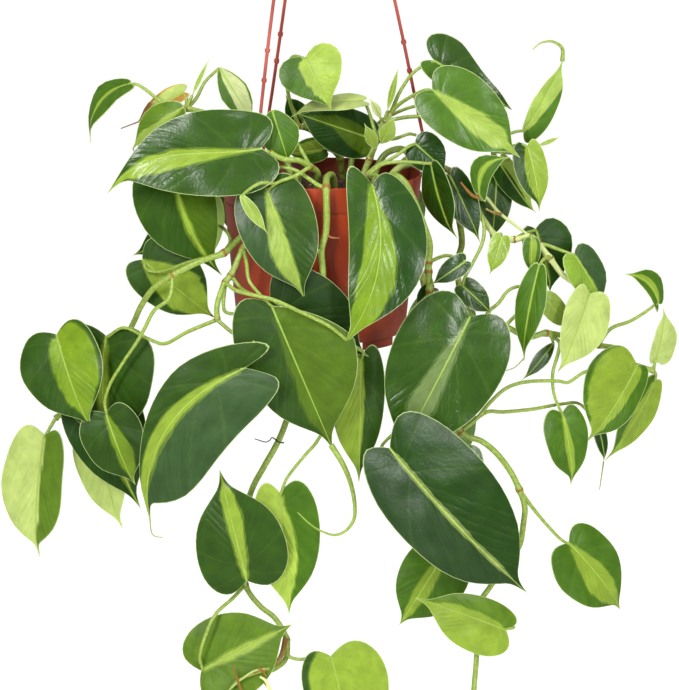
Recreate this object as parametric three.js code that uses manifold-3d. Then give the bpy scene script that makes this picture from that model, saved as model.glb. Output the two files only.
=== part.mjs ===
// Brasil philodendron in a hanging pot, as one assembly.
// Millimetres, +Z up, +X to the right, and the front of the plant is on the -Y side.
// The origin is the point on which the hook hangs.
import * as THREE from 'three';
import { mergeVertices } from 'three/addons/utils/BufferGeometryUtils.js';
import Module from 'manifold-3d';

const wasm = await Module();
wasm.setup();

// Driving dimensions
const RIM_DROP = 375; // from the hanging point down to the pot's rim
const CLEARANCE = 0.3; // between pieces that touch
const POT = {
  rimRadius: 75,
  baseRadius: 63,
  height: 119,
  wall: 1.8,
  floor: 2.4,
  bandHeight: 18,
  grooveDepth: 0.7,
  grooveWidth: 2.6,
  footHeight: 6,
  footWidth: 5,
  footArc: 27, // degrees
  footInset: 0.3,
  feet: 8,
  sides: 28,
};
const LUG = {
  reach: 11,
  width: 10,
  thickness: 2.6,
  hole: 2.1,
  holeSides: 6,
  radius: 80,
  angles: [0, 232, 124], // degrees from +X: right, front left, back left
};
const STRAND = {
  radius: 1.3,
  headRadius: 2.7,
  headHeight: 2.6,
  headSides: 6,
  footDrop: 4.6,
  lap: 1, // how far the rod runs into its head and its foot
  straight: 5, // upright stretch at the lug and under the hub
  bows: [4, 7, -3], // how far each bows out from the straight line between them
  divisions: 6,
  sides: 5,
};
const HUB = { z: -48, radius: 9, thickness: 5, holeCircle: 5.6, sides: 15 };
const HOOK = {
  wire: 2.2,
  bendRadius: 10,
  sides: 6,
  arcSteps: 9,
  arcStart: -0.18, // half turns
  shankTop: -30,
  lean: 1.5,
  pointOut: 2.5,
  pointDown: 7,
  lap: 2, // how far the shank runs into the hub
};
const SOIL = {
  depthBelowRim: 13,
  ripple: 1.1,
  ripplePhase: 2.1,
  wallGap: 0.4,
  floorGap: 0.6,
  holeDepth: 18,
  holeGap: 0.4,
  holeSides: 5,
  rings: 2,
  sides: 28,
};
const STEM = { radius: 2.6, sides: 5, standing: 6, start: 4.5 };
const CUT_MARGIN = 1; // how far a cutter runs past what it cuts
const PETIOLE = { radius: 1.6, sides: 3 };
const TAIL_RADIUS = 0.9;
const BLADE_THICKNESS = 0.8;
const MERGE_DISTANCE = 1e-4;

// Colours read by eye
const COLOUR = {
  pot: 0xa63e22,
  strand: 0xb85a48,
  soil: 0x2e2018,
  foliage: 0x4d7d22,
};

// Places are given as the plant is seen from the front: a to the right of the rim's centre, b above it,
// both on a plane square to the sight line, and out, the distance in front of the pot's axis.
const SIGHT = { distance: 3000, elevation: 11.5, centreA: 13.5, centreB: -128.9 };
const RIGHT = new THREE.Vector3(1, 0, 0);
const sightTilt = THREE.MathUtils.degToRad(SIGHT.elevation);
const PLANE_UP = new THREE.Vector3(0, Math.sin(sightTilt), Math.cos(sightTilt));
const TOWARD_EYE = new THREE.Vector3(0, -Math.cos(sightTilt), Math.sin(sightTilt));
const rimCentre = new THREE.Vector3(0, 0, -RIM_DROP);
const eye = rimCentre
  .clone()
  .addScaledVector(RIGHT, SIGHT.centreA)
  .addScaledVector(PLANE_UP, SIGHT.centreB)
  .addScaledVector(TOWARD_EYE, SIGHT.distance);

// The foliage wraps round the pot: what lies far to either side also lies further back.
const WRAP = { from: 60, curve: 0.002 };

function beyondWrap(a) {
  return Math.sign(a) * Math.max(0, Math.abs(a) - WRAP.from);
}

function seen([a, b, out]) {
  const ray = rimCentre.clone().addScaledVector(RIGHT, a).addScaledVector(PLANE_UP, b).sub(eye);
  const front = out - WRAP.curve * beyondWrap(a) ** 2;
  return eye.clone().addScaledVector(ray, (-front - eye.y) / ray.y);
}

// Solids are joined and cut as manifolds, and come back as plain meshes.
function solidOf(geometry) {
  const bare = geometry.index ? geometry.toNonIndexed() : geometry.clone();
  bare.deleteAttribute('normal');
  bare.deleteAttribute('uv');
  const merged = mergeVertices(bare, MERGE_DISTANCE);
  const vertProperties = new Float32Array(merged.getAttribute('position').array);
  const triVerts = new Uint32Array(merged.index.array);
  return new wasm.Manifold(new wasm.Mesh({ numProp: 3, vertProperties, triVerts }));
}

function geometryOf(solid) {
  const mesh = solid.getMesh();
  const geometry = new THREE.BufferGeometry();
  geometry.setAttribute('position', new THREE.BufferAttribute(mesh.vertProperties, 3));
  geometry.setIndex(new THREE.BufferAttribute(mesh.triVerts, 1));
  geometry.computeVertexNormals();
  return geometry;
}

function fuse(solids) {
  return wasm.Manifold.union(solids);
}

function namedMesh(name, solid, colour, roughness) {
  const material = new THREE.MeshStandardMaterial({ color: colour, roughness, metalness: 0 });
  const mesh = new THREE.Mesh(geometryOf(solid), material);
  mesh.name = name;
  return mesh;
}

function roundSection(radius, sides) {
  const shape = new THREE.Shape();
  for (let i = 0; i < sides; i += 1) {
    const angle = (i * 2 * Math.PI) / sides;
    const x = radius * Math.cos(angle);
    const y = radius * Math.sin(angle);
    if (i === 0) {
      shape.moveTo(x, y);
    } else {
      shape.lineTo(x, y);
    }
  }
  shape.closePath();
  return shape;
}

// A curve whose even steps fall on its own points
class Route extends THREE.CatmullRomCurve3 {
  getUtoTmapping(share) {
    return share;
  }
}

// A rod through its points, with a station at each of them
function rod(points, radius, sides) {
  const extrudePath = new Route(points, false, 'centripetal');
  const steps = points.length - 1;
  const section = roundSection(radius, sides);
  return solidOf(new THREE.ExtrudeGeometry(section, { steps, bevelEnabled: false, extrudePath }));
}

function uprightCylinder(x, y, bottom, top, radius, sides) {
  const geometry = new THREE.CylinderGeometry(radius, radius, top - bottom, sides);
  geometry.rotateX(Math.PI / 2);
  geometry.translate(x, y, (top + bottom) / 2);
  return solidOf(geometry);
}

// A shape turned about the pot's axis from a closed profile of [radius, height above the rim]
function turned(profile, sides) {
  const points = profile.map(([radius, z]) => new THREE.Vector2(radius, z));
  const geometry = new THREE.LatheGeometry(points, sides);
  geometry.rotateX(Math.PI / 2);
  geometry.translate(0, 0, -RIM_DROP);
  return solidOf(geometry);
}

// The pot: a thin tapered wall with a banded rim, a flat floor, eight low feet and three lugs
function outerRadiusAt(z) {
  return THREE.MathUtils.lerp(POT.rimRadius, POT.baseRadius, -z / POT.height);
}

function potProfile() {
  const groove = -POT.bandHeight;
  const grooveEnd = groove - POT.grooveWidth;
  return [
    [0, -POT.height],
    [POT.baseRadius, -POT.height],
    [outerRadiusAt(grooveEnd), grooveEnd],
    [outerRadiusAt(grooveEnd) - POT.grooveDepth, grooveEnd],
    [outerRadiusAt(groove) - POT.grooveDepth, groove],
    [outerRadiusAt(groove), groove],
    [POT.rimRadius, 0],
    [POT.rimRadius - POT.wall, 0],
    [POT.baseRadius - POT.wall, POT.floor - POT.height],
    [0, POT.floor - POT.height],
  ];
}

function foot(index) {
  const arc = THREE.MathUtils.degToRad(POT.footArc);
  const start = (index * 2 * Math.PI) / POT.feet - arc / 2;
  const outer = POT.baseRadius - POT.footInset;
  const shape = new THREE.Shape();
  shape.absarc(0, 0, outer, start, start + arc, false);
  shape.absarc(0, 0, outer - POT.footWidth, start + arc, start, true);
  shape.closePath();
  const geometry = new THREE.ExtrudeGeometry(shape, {
    depth: POT.footHeight + CUT_MARGIN,
    bevelEnabled: false,
    curveSegments: 2,
  });
  geometry.translate(0, 0, -RIM_DROP - POT.height - POT.footHeight);
  return solidOf(geometry);
}

function lugPoint(index) {
  const angle = THREE.MathUtils.degToRad(LUG.angles[index]);
  return new THREE.Vector2(LUG.radius * Math.cos(angle), LUG.radius * Math.sin(angle));
}

function lug(index) {
  const geometry = new THREE.BoxGeometry(LUG.reach, LUG.width, LUG.thickness);
  geometry.translate(POT.rimRadius - POT.wall + LUG.reach / 2, 0, -LUG.thickness / 2 - RIM_DROP);
  geometry.rotateZ(THREE.MathUtils.degToRad(LUG.angles[index]));
  const centre = lugPoint(index);
  const top = CUT_MARGIN - RIM_DROP;
  const bottom = -LUG.thickness - CUT_MARGIN - RIM_DROP;
  const hole = uprightCylinder(centre.x, centre.y, bottom, top, LUG.hole, LUG.holeSides);
  return solidOf(geometry).subtract(hole);
}

function makePot() {
  const pieces = [turned(potProfile(), POT.sides)];
  for (let i = 0; i < POT.feet; i += 1) {
    pieces.push(foot(i));
  }
  for (let i = 0; i < LUG.angles.length; i += 1) {
    pieces.push(lug(i));
  }
  return namedMesh('pot', fuse(pieces), COLOUR.pot, 0.45);
}

// The potting soil: a filled plug with a gently uneven top and a plain hole for each stem
function soilRadiusAt(z) {
  return outerRadiusAt(z) - POT.wall - SOIL.wallGap;
}

function makeSoil(roots) {
  const top = -SOIL.depthBelowRim;
  const bottom = POT.floor + SOIL.floorGap - POT.height;
  const outer = soilRadiusAt(top);
  const profile = [[0, bottom], [soilRadiusAt(bottom), bottom], [outer, top]];
  for (let ring = SOIL.rings; ring > 0; ring -= 1) {
    const share = (ring - 0.5) / SOIL.rings;
    profile.push([outer * share, top + SOIL.ripple * Math.sin(ring * SOIL.ripplePhase)]);
  }
  profile.push([0, top + SOIL.ripple]);
  const holes = roots.map(([x, out]) => {
    const deep = -RIM_DROP + top - SOIL.holeDepth - CLEARANCE;
    return uprightCylinder(x, -out, deep, -RIM_DROP, STEM.radius + SOIL.holeGap, SOIL.holeSides);
  });
  return namedMesh('soil', turned(profile, SOIL.sides).subtract(fuse(holes)), COLOUR.soil, 0.95);
}

// The hanger: a plain hook over a round hub, and three strands that bow out to the pot's lugs
function makeHook() {
  const points = [];
  const hubTop = HUB.z + HUB.thickness / 2;
  const bend = HOOK.bendRadius;
  const reach = bend + HOOK.wire;
  points.push(new THREE.Vector3(0, 0, hubTop - HOOK.lap));
  points.push(new THREE.Vector3(0, 0, HOOK.shankTop));
  points.push(new THREE.Vector3(HOOK.lean, 0, -2 * bend));
  for (let i = 0; i <= HOOK.arcSteps; i += 1) {
    const angle = THREE.MathUtils.lerp(HOOK.arcStart, 1, i / HOOK.arcSteps) * Math.PI;
    points.push(new THREE.Vector3(reach * Math.cos(angle), 0, -bend + reach * Math.sin(angle)));
  }
  points.push(new THREE.Vector3(-reach - HOOK.pointOut, 0, -bend - HOOK.pointDown));
  const hub = uprightCylinder(0, 0, HUB.z - HUB.thickness / 2, hubTop, HUB.radius, HUB.sides);
  const holes = LUG.angles.map((degrees) => {
    const angle = THREE.MathUtils.degToRad(degrees);
    const x = HUB.holeCircle * Math.cos(angle);
    const y = HUB.holeCircle * Math.sin(angle);
    return uprightCylinder(x, y, HUB.z - HUB.thickness, HUB.z + HUB.thickness, LUG.hole, LUG.holeSides);
  });
  const wire = rod(points, HOOK.wire, HOOK.sides);
  return namedMesh('hanger_hook', fuse([wire, hub]).subtract(fuse(holes)), COLOUR.strand, 0.5);
}

function makeStrand(index) {
  const angle = THREE.MathUtils.degToRad(LUG.angles[index]);
  const at = (radius, z) => new THREE.Vector3(radius * Math.cos(angle), radius * Math.sin(angle), z);
  const hubTop = HUB.z + HUB.thickness / 2;
  const lower = -RIM_DROP - LUG.thickness - CLEARANCE;
  const upper = hubTop + CLEARANCE;
  const lowBend = STRAND.straight - RIM_DROP;
  const highBend = HUB.z - HUB.thickness / 2 - STRAND.straight;
  const points = [at(LUG.radius, lower - STRAND.lap), at(LUG.radius, lowBend)];
  for (let i = 1; i < STRAND.divisions; i += 1) {
    const share = i / STRAND.divisions;
    const straight = THREE.MathUtils.lerp(LUG.radius, HUB.holeCircle, share);
    const z = THREE.MathUtils.lerp(lowBend, highBend, share);
    points.push(at(straight + STRAND.bows[index] * Math.sin(Math.PI * share), z));
  }
  points.push(at(HUB.holeCircle, highBend), at(HUB.holeCircle, upper + STRAND.lap));
  const rodSolid = rod(points, STRAND.radius, STRAND.sides);
  const top = at(HUB.holeCircle, 0);
  const bottom = at(LUG.radius, 0);
  const headTop = upper + STRAND.headHeight;
  const { headRadius, headSides } = STRAND;
  const head = uprightCylinder(top.x, top.y, upper, headTop, headRadius, headSides);
  const footBottom = lower - STRAND.footDrop;
  const clip = uprightCylinder(bottom.x, bottom.y, footBottom, lower, headRadius, headSides);
  const name = `hanger_strand_${index + 1}`;
  return namedMesh(name, fuse([rodSolid, head, clip]), COLOUR.strand, 0.5);
}

// A leaf blade lies between a heart and an oval, with a drawn-out tip. Each row runs from the midrib to
// the edge: how far along the midrib it starts, its reach as a share of the half width, and how far along
// the leaf its edge lies.
const HEART = [
  [0.09, 0.52, -0.14],
  [0.2, 0.93, 0.0],
  [0.36, 1.0, 0.2],
  [0.54, 0.8, 0.42],
  [0.73, 0.47, 0.66],
  [0.88, 0.17, 0.86],
];
const OVAL = [
  [0.09, 0.5, -0.08],
  [0.2, 0.86, 0.05],
  [0.36, 1.0, 0.27],
  [0.54, 0.91, 0.53],
  [0.73, 0.5, 0.755],
  [0.88, 0.13, 0.87],
];
const DEFAULT_OVAL = [0.85, 0.85]; // share of the oval in each half's outline
const FULL_LOBES = [1, 1]; // 1 where a half runs back into a lobe, 0 where it tapers to the petiole
const SHOULDER = 0.45; // share of the midrib over which a half without its lobe widens
const LARGE = { over: 118, rows: [0, 1, 2, 3, 4, 5], columns: [-1, -0.5, 0, 0.5, 1] };
const MEDIUM = { over: 70, rows: [0, 1, 2, 3, 4], columns: [-1, -0.5, 0, 0.5, 1] };
const FAIR = { over: 43, rows: [0, 2, 3, 4], columns: [-1, 0, 1] };
const SMALL = { over: 0, rows: [0, 2, 4], columns: [-1, 0, 1] };
const DEFAULT_FOLD = 9; // degrees that each half rises from the midrib
const DEFAULT_BEND = 0.05; // how far the midrib arches up, as a share of the leaf's length
const CUP = 0.13; // how far the edge droops again, as a share of the half width
const PETIOLE_DEPTH = 0.3; // of its axis below the blade's middle surface
const PETIOLE_END = 0.02; // share of the midrib where the petiole ends
const TAIL_START = 0.98;

// The leaf's own axes: along the midrib, across it to the right, and out of its upper face
function bladeAxes(leaf) {
  const base = seen(leaf.base);
  const along = seen(leaf.tip).sub(base);
  const length = along.length();
  along.normalize();
  const sight = eye.clone().sub(base).normalize();
  const outward = 2 * WRAP.curve * beyondWrap((leaf.base[0] + leaf.tip[0]) / 2);
  const facing = sight.clone().addScaledVector(RIGHT, outward);
  facing.addScaledVector(along, -facing.dot(along)).normalize();
  const side = along.clone().cross(facing);
  const widening = 1 / Math.sqrt(1 - side.dot(sight) ** 2);
  const roll = THREE.MathUtils.degToRad(leaf.roll ?? 0);
  const normal = facing.multiplyScalar(Math.cos(roll)).addScaledVector(side, Math.sin(roll));
  const across = along.clone().cross(normal);
  return { base, along, across, normal, length, widening };
}

// A place on the blade's middle surface: v from -1 to 1 across a row, and the row's own numbers
function bladePoint(leaf, axes, [midrib, reach, edge], v) {
  const half = leaf.half[v < 0 ? 0 : 1] * axes.widening;
  const fold = THREE.MathUtils.degToRad(leaf.fold ?? DEFAULT_FOLD);
  const share = THREE.MathUtils.lerp(midrib, edge, Math.abs(v));
  const arch = 4 * axes.length * share * (1 - share);
  const hook = 6.75 * axes.length * share * share * (1 - share) * (leaf.hook ?? 0);
  const x = v * reach * half;
  const rise = Math.abs(x) * Math.sin(fold) - (CUP * x * x) / half;
  return axes.base
    .clone()
    .addScaledVector(axes.across, x * Math.cos(fold) + arch * (leaf.sweep ?? 0) + hook)
    .addScaledVector(axes.along, share * axes.length)
    .addScaledVector(axes.normal, rise + arch * (leaf.bend ?? DEFAULT_BEND));
}

// A row of the leaf's own outline, on the half where v lies
function outlineRow(leaf, row, v) {
  const side = v < 0 ? 0 : 1;
  const oval = (leaf.oval ?? DEFAULT_OVAL)[side];
  const lobe = (leaf.lobes ?? FULL_LOBES)[side];
  const [midrib, reach, edge] = HEART[row].map((value, index) => {
    return THREE.MathUtils.lerp(value, OVAL[row][index], oval);
  });
  const taper = (1 - lobe) * Math.max(0, 1 - midrib / SHOULDER);
  return [midrib, reach * (1 - taper), THREE.MathUtils.lerp(edge, midrib, taper)];
}

function detailFor(length) {
  return [LARGE, MEDIUM, FAIR, SMALL].find((detail) => length > detail.over);
}

// Two faces with the same triangles, a blade's thickness apart, closed by a wall round the edge
function bladeSolid(leaf, axes) {
  const detail = detailFor(axes.length);
  const middle = [bladePoint(leaf, axes, [0, 0, 0], 0)];
  for (const row of detail.rows) {
    for (const v of detail.columns) {
      middle.push(bladePoint(leaf, axes, outlineRow(leaf, row, v), v));
    }
  }
  middle.push(bladePoint(leaf, axes, [1, 0, 1], 0));
  const count = middle.length;
  const width = detail.columns.length;
  const tip = count - 1;
  const at = (row, column) => 1 + row * width + column;
  const lastRow = detail.rows.length - 1;
  const face = [];
  for (let column = 0; column < width - 1; column += 1) {
    face.push([0, at(0, column + 1), at(0, column)]);
    for (let row = 0; row < lastRow; row += 1) {
      face.push([at(row, column), at(row, column + 1), at(row + 1, column + 1)]);
      face.push([at(row, column), at(row + 1, column + 1), at(row + 1, column)]);
    }
    face.push([at(lastRow, column), at(lastRow, column + 1), tip]);
  }
  const rim = [0];
  for (let row = 0; row <= lastRow; row += 1) {
    rim.push(at(row, width - 1));
  }
  rim.push(tip);
  for (let row = lastRow; row >= 0; row -= 1) {
    rim.push(at(row, 0));
  }
  const triangles = [];
  for (const [i, j, k] of face) {
    triangles.push(i, j, k);
    triangles.push(count + i, count + k, count + j);
  }
  rim.forEach((from, index) => {
    const to = rim[(index + 1) % rim.length];
    triangles.push(count + from, count + to, to);
    triangles.push(count + from, to, from);
  });
  const places = [];
  for (const offset of [BLADE_THICKNESS / 2, -BLADE_THICKNESS / 2]) {
    for (const point of middle) {
      places.push(...point.clone().addScaledVector(axes.normal, offset).toArray());
    }
  }
  const vertProperties = new Float32Array(places);
  const triVerts = new Uint32Array(triangles);
  return new wasm.Manifold(new wasm.Mesh({ numProp: 3, vertProperties, triVerts }));
}

// A leaf with its petiole, which runs on under the first stretch of the midrib, and its thin tail if any
function makeLeaf(leaf) {
  const axes = bladeAxes(leaf);
  const solids = [bladeSolid(leaf, axes)];
  const under = (share) => {
    const point = bladePoint(leaf, axes, [share, 0, share], 0);
    return point.addScaledVector(axes.normal, -PETIOLE_DEPTH);
  };
  const petiole = [...leaf.petiole.map(seen), under(PETIOLE_END)];
  solids.push(rod(petiole, PETIOLE.radius, PETIOLE.sides));
  if (leaf.tail) {
    solids.push(rod([under(TAIL_START), ...leaf.tail.map(seen)], TAIL_RADIUS, PETIOLE.sides));
  }
  return solids;
}

// A leafy stem: it stands in its hole in the soil, runs out over the rim, and carries petioles and leaves
function makeVine(vine) {
  const [x, out] = vine.root;
  const soilTop = -RIM_DROP - SOIL.depthBelowRim;
  const bottom = soilTop - SOIL.holeDepth;
  const rooted = uprightCylinder(x, -out, bottom, soilTop + STEM.standing, STEM.radius, STEM.sides);
  const start = new THREE.Vector3(x, -out, soilTop + STEM.start);
  const solids = [rooted, rod([start, ...vine.stem.map(seen)], STEM.radius, STEM.sides)];
  for (const branch of vine.branches ?? []) {
    solids.push(rod(branch.map(seen), PETIOLE.radius, PETIOLE.sides));
  }
  for (const leaf of vine.leaves) {
    solids.push(...makeLeaf(leaf));
  }
  return namedMesh(vine.name, fuse(solids), COLOUR.foliage, 0.4);
}

// Every leafy stem as it hangs, with its leaves numbered in the order in which they were read.
// These grow to the left and down the front.
const LEFT_VINES = [
  {
    name: 'vine_front_trailing',
    root: [10, 34],
    stem: [
      [8, -2, 50], [4, -4, 66], [3.5, -11, 79], [3.5, -43, 82], [0, -58, 83], [1, -79, 82],
      [-6, -120, 80],
      [-18, -160, 77], [-31, -198, 74], [-43, -220, 73], [-52, -237, 71], [-60, -270, 69],
      [-57, -308, 70],
      [-46, -324, 70], [-35, -333, 71], [-26, -349, 72], [-27, -364, 72], [-35, -371, 72],
      [-50, -376, 72],
      [-56, -392, 72],
    ],
    branches: [
      [[0, -58, 83], [-8, -60, 86], [-13, -66, 88]],
      [[3.5, -43, 82], [6, -48, 84], [13.5, -49, 86]],
      [[-50, -376, 72], [-44, -380, 74], [-38, -387, 73]],
      [[-50, -376, 72], [-62, -380, 74], [-66, -386, 73]],
      [[-31, -198, 74], [-40, -202, 76], [-50, -199, 75]],
    ],
    leaves: [
      {
        id: 50, base: [-56, -305, 92], tip: [-76, -223.5, 96], half: [32, 36],
        petiole: [[-57, -308, 70], [-57, -307, 80]],
      },
      {
        id: 51, base: [-31, -239.5, 84], tip: [-24, -332, 82], half: [28, 22],
        petiole: [
          [-6, -120, 80], [2, -160, 83], [2, -190, 83], [-4, -202, 84], [-12, -211, 84],
          [-26, -229, 84],
        ],
      },
      {
        id: 52, base: [-90, -372.5, 91], tip: [-22, -338, 86], half: [33, 33],
        petiole: [[-57, -308, 70], [-66, -318, 82], [-79, -330, 92], [-86, -344, 98], [-91, -362, 98]],
      },
      {
        id: 53, base: [7, -361.5, 84], tip: [27, -435, 82], half: [38, 27],
        petiole: [[-26, -349, 72], [-25, -361, 77], [-16, -364, 80], [-5, -362, 83]],
      },
      {
        id: 8, base: [-112, 15, 50], tip: [-75, -77, 66], half: [28, 34], sweep: 0.08,
        petiole: [
          [3.5, -11, 79], [-1, -10, 79], [-20, 2, 75], [-34, 4.5, 71], [-60, 6, 60], [-95, 14, 48],
        ],
      },
    ],
  },
  {
    name: 'vine_left_upper',
    root: [-30, 28],
    stem: [
      [-28, -2, 58], [-30, -9, 72], [-34, -16, 77], [-50, -38, 70], [-62, -50, 72], [-73, -60, 80],
      [-90, -66, 84], [-110, -76, 86], [-125, -86, 82], [-135, -100, 74], [-140, -111, 66],
      [-150, -130, 58],
      [-165, -150, 54], [-180, -168, 58], [-191, -177, 60], [-199, -184, 66],
    ],
    leaves: [
      {
        id: 10, base: [-134, -65, 68], tip: [-80, -109, 62], half: [28, 22],
        petiole: [[-73, -60, 80], [-99, -67, 80], [-121, -74, 76], [-131, -72, 72]],
      },
      {
        id: 9, base: [-86, -40, 46], tip: [-142, -62, 50], half: [18, 18],
        petiole: [[-73, -60, 80], [-68, -50, 64], [-76, -40, 50]],
      },
      {
        id: 13, base: [-161, -180, 100], tip: [-140, -234, 96], half: [22, 24],
        petiole: [
          [-111, -76, 86], [-114, -94, 92], [-125, -103, 94], [-132, -116, 95], [-137, -125, 95],
          [-149, -143, 98], [-158, -158, 101], [-162, -171, 102],
        ],
      },
      {
        id: 14, base: [-172, -150, 68], tip: [-137, -252, 73], half: [30, 31],
        petiole: [[-165, -150, 54], [-171, -147, 62]],
      },
      {
        id: 16, base: [-168, -190, 46], tip: [-150, -267, 48], half: [16, 21],
        petiole: [[-165, -150, 54], [-163, -165, 48], [-167, -180, 45]],
      },
      {
        id: 17, base: [-207, -196, 74], tip: [-213.5, -288, 76], half: [19, 28], oval: [1.4, 1.4],
        petiole: [[-199, -184, 66]],
      },
      {
        id: 11, base: [-198, -121, 100], tip: [-173, -192, 106], half: [28, 33],
        petiole: [[-150, -130, 58], [-175, -132, 60], [-197, -126, 72], [-200, -122, 88]],
      },
    ],
  },
  {
    name: 'vine_left_lower',
    root: [-18, 44],
    stem: [
      [-18, -2, 62], [-21, -8, 76], [-27, -18, 81], [-44, -38, 79], [-58, -56, 83], [-68, -77, 88],
      [-72, -82, 90], [-78, -99, 94], [-78, -110, 95],
    ],
    branches: [[[-72, -82, 90], [-72, -104, 94], [-60, -105, 96], [-50, -104, 98]]],
    leaves: [
      {
        id: 12, base: [-161, -122, 80], tip: [-162, -210, 86], half: [38, 37],
        petiole: [
          [-78, -110, 94], [-100, -119, 92], [-118, -128, 90], [-130, -124, 88], [-148, -116, 84],
        ],
      },
      {
        id: 15, base: [-57, -146, 119], tip: [-130, -264, 110], half: [43, 27],
        sweep: 0.17, oval: [1.5, -0.3],
        petiole: [[-78, -110, 95], [-66, -120, 102], [-50, -128, 111]],
        tail: [[-126, -271, 110], [-119, -273, 110]],
      },
      {
        id: 18, base: [-38, -98, 104], tip: [9, -208, 100], half: [48, 38], lobes: [0.1, 1],
        petiole: [[-58, -57, 83], [-56, -68, 92], [-54, -81, 99], [-47, -90, 103]],
        tail: [
          [16, -218, 99], [22, -233, 98], [25, -250, 98], [24, -260, 99], [18, -268, 100],
          [10, -271, 101],
          [2, -269, 102], [-7, -264, 103], [-18, -254, 103],
        ],
      },
      {
        id: 20, base: [30, -137, 78], tip: [28, -233, 84], half: [18, 22],
        petiole: [
          [-72, -82, 90], [-64, -88, 102], [-49, -92, 110], [-36, -95, 113], [-16, -104, 114],
          [6, -115, 112],
          [22, -128, 102], [31, -134, 88],
        ],
      },
      {
        id: 21, base: [-38, -95, 90], tip: [36, -138, 84], half: [35, 30],
        petiole: [[-68, -77, 88], [-58, -88, 90], [-46, -93, 91]],
      },
    ],
  },
  {
    name: 'shoot_left_top',
    root: [-40, 0],
    stem: [[-46, 8, 18], [-58, 26, 36], [-72, 38, 48], [-85, 44, 56], [-101, 48, 61], [-104, 48.5, 62]],
    leaves: [
      {
        id: 1, base: [-143, 66.5, 64], tip: [-175, 23, 70], half: [15, 14],
        roll: 40, sweep: 0.25, lobes: [0.6, 0.6],
        petiole: [[-101, 48, 61], [-118, 52, 62], [-130, 61, 63], [-138, 66, 64]],
      },
      {
        id: 2, base: [-103, 49, 68], tip: [-143, 18, 72], half: [15, 16], roll: 20, lobes: [0.4, 0.4],
        petiole: [[-101, 48, 61]], tail: [[-140, 14, 71]],
      },
      {
        id: 3, base: [-103, 60, 54], tip: [-139, 38, 52], half: [8, 10], roll: 30,
        petiole: [[-101, 48, 61], [-101, 55, 57]], tail: [[-150, 33, 52]],
      },
      {
        id: 4, base: [-97, 57, 60], tip: [-83, 87, 60], half: [1.8, 1.8], lobes: [0, 0],
        petiole: [[-101, 48, 61]],
      },
      {
        id: 5, base: [-77, 79, 46], tip: [-50, 36, 50], half: [11, 11],
        oval: [1.2, 1.2], lobes: [0.2, 0.2],
        petiole: [[-101, 48, 61], [-94, 55, 54], [-87, 68, 49]],
      },
    ],
  },
  {
    name: 'shoot_front_left',
    root: [-4, 50],
    stem: [[-3, 0, 60], [-8, 4, 66], [-17, 9, 70.5], [-28, 10, 74], [-39, 15, 75]],
    leaves: [
      {
        id: 6, base: [-45.6, 18, 78], tip: [-160.5, -14.6, 104], half: [34, 33],
        roll: 8, sweep: 0.01, hook: 0.1, oval: [0.9, 0.4],
        petiole: [[-39, 15, 75]],
      },
      {
        id: 7, base: [-37, 47, 60], tip: [-24, 6, 66], half: [15, 15],
        oval: [1.2, 1.2], lobes: [0.3, 0.3],
        petiole: [[-8, 4, 66], [-19, 24, 60], [-27, 41, 59]],
      },
      {
        id: 22, base: [-41, -12, 81], tip: [-12, -95.5, 94], half: [28, 30],
        petiole: [[-8, 4, 66], [-10, 3.5, 78], [-19, -2, 84], [-34, -8, 83]],
      },
      {
        id: 23, base: [-60, -17, 96], tip: [-40, -46, 100], half: [5, 5], lobes: [0.4, 0.4],
        petiole: [[-34, -8, 82], [-46, -8, 91], [-56, -14, 95]],
      },
    ],
  },
  {
    name: 'shoot_front_right',
    root: [30, 36],
    stem: [[31, -4, 48], [34, -3, 60]],
    leaves: [
      {
        id: 24, base: [38, -9, 86], tip: [14, -132, 110], half: [35, 24], sweep: -0.13,
        petiole: [[34, -3, 60], [41, -2, 72], [44, -5, 80]],
      },
      {
        id: 25, base: [82, 7.6, 48], tip: [99.6, -50, 58], half: [16, 16], roll: 50, lobes: [0.5, 0.5],
        petiole: [[34, -3, 60], [45, 6, 58], [58, 8, 55], [71, 7.6, 52]],
      },
      {
        id: 63, base: [70, 22, 27], tip: [94, 0, 30], half: [15, 14],
        petiole: [[31, -4, 48], [40, 4, 46], [55, 12, 38], [66, 20, 30]],
      },
    ],
  },
];
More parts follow.
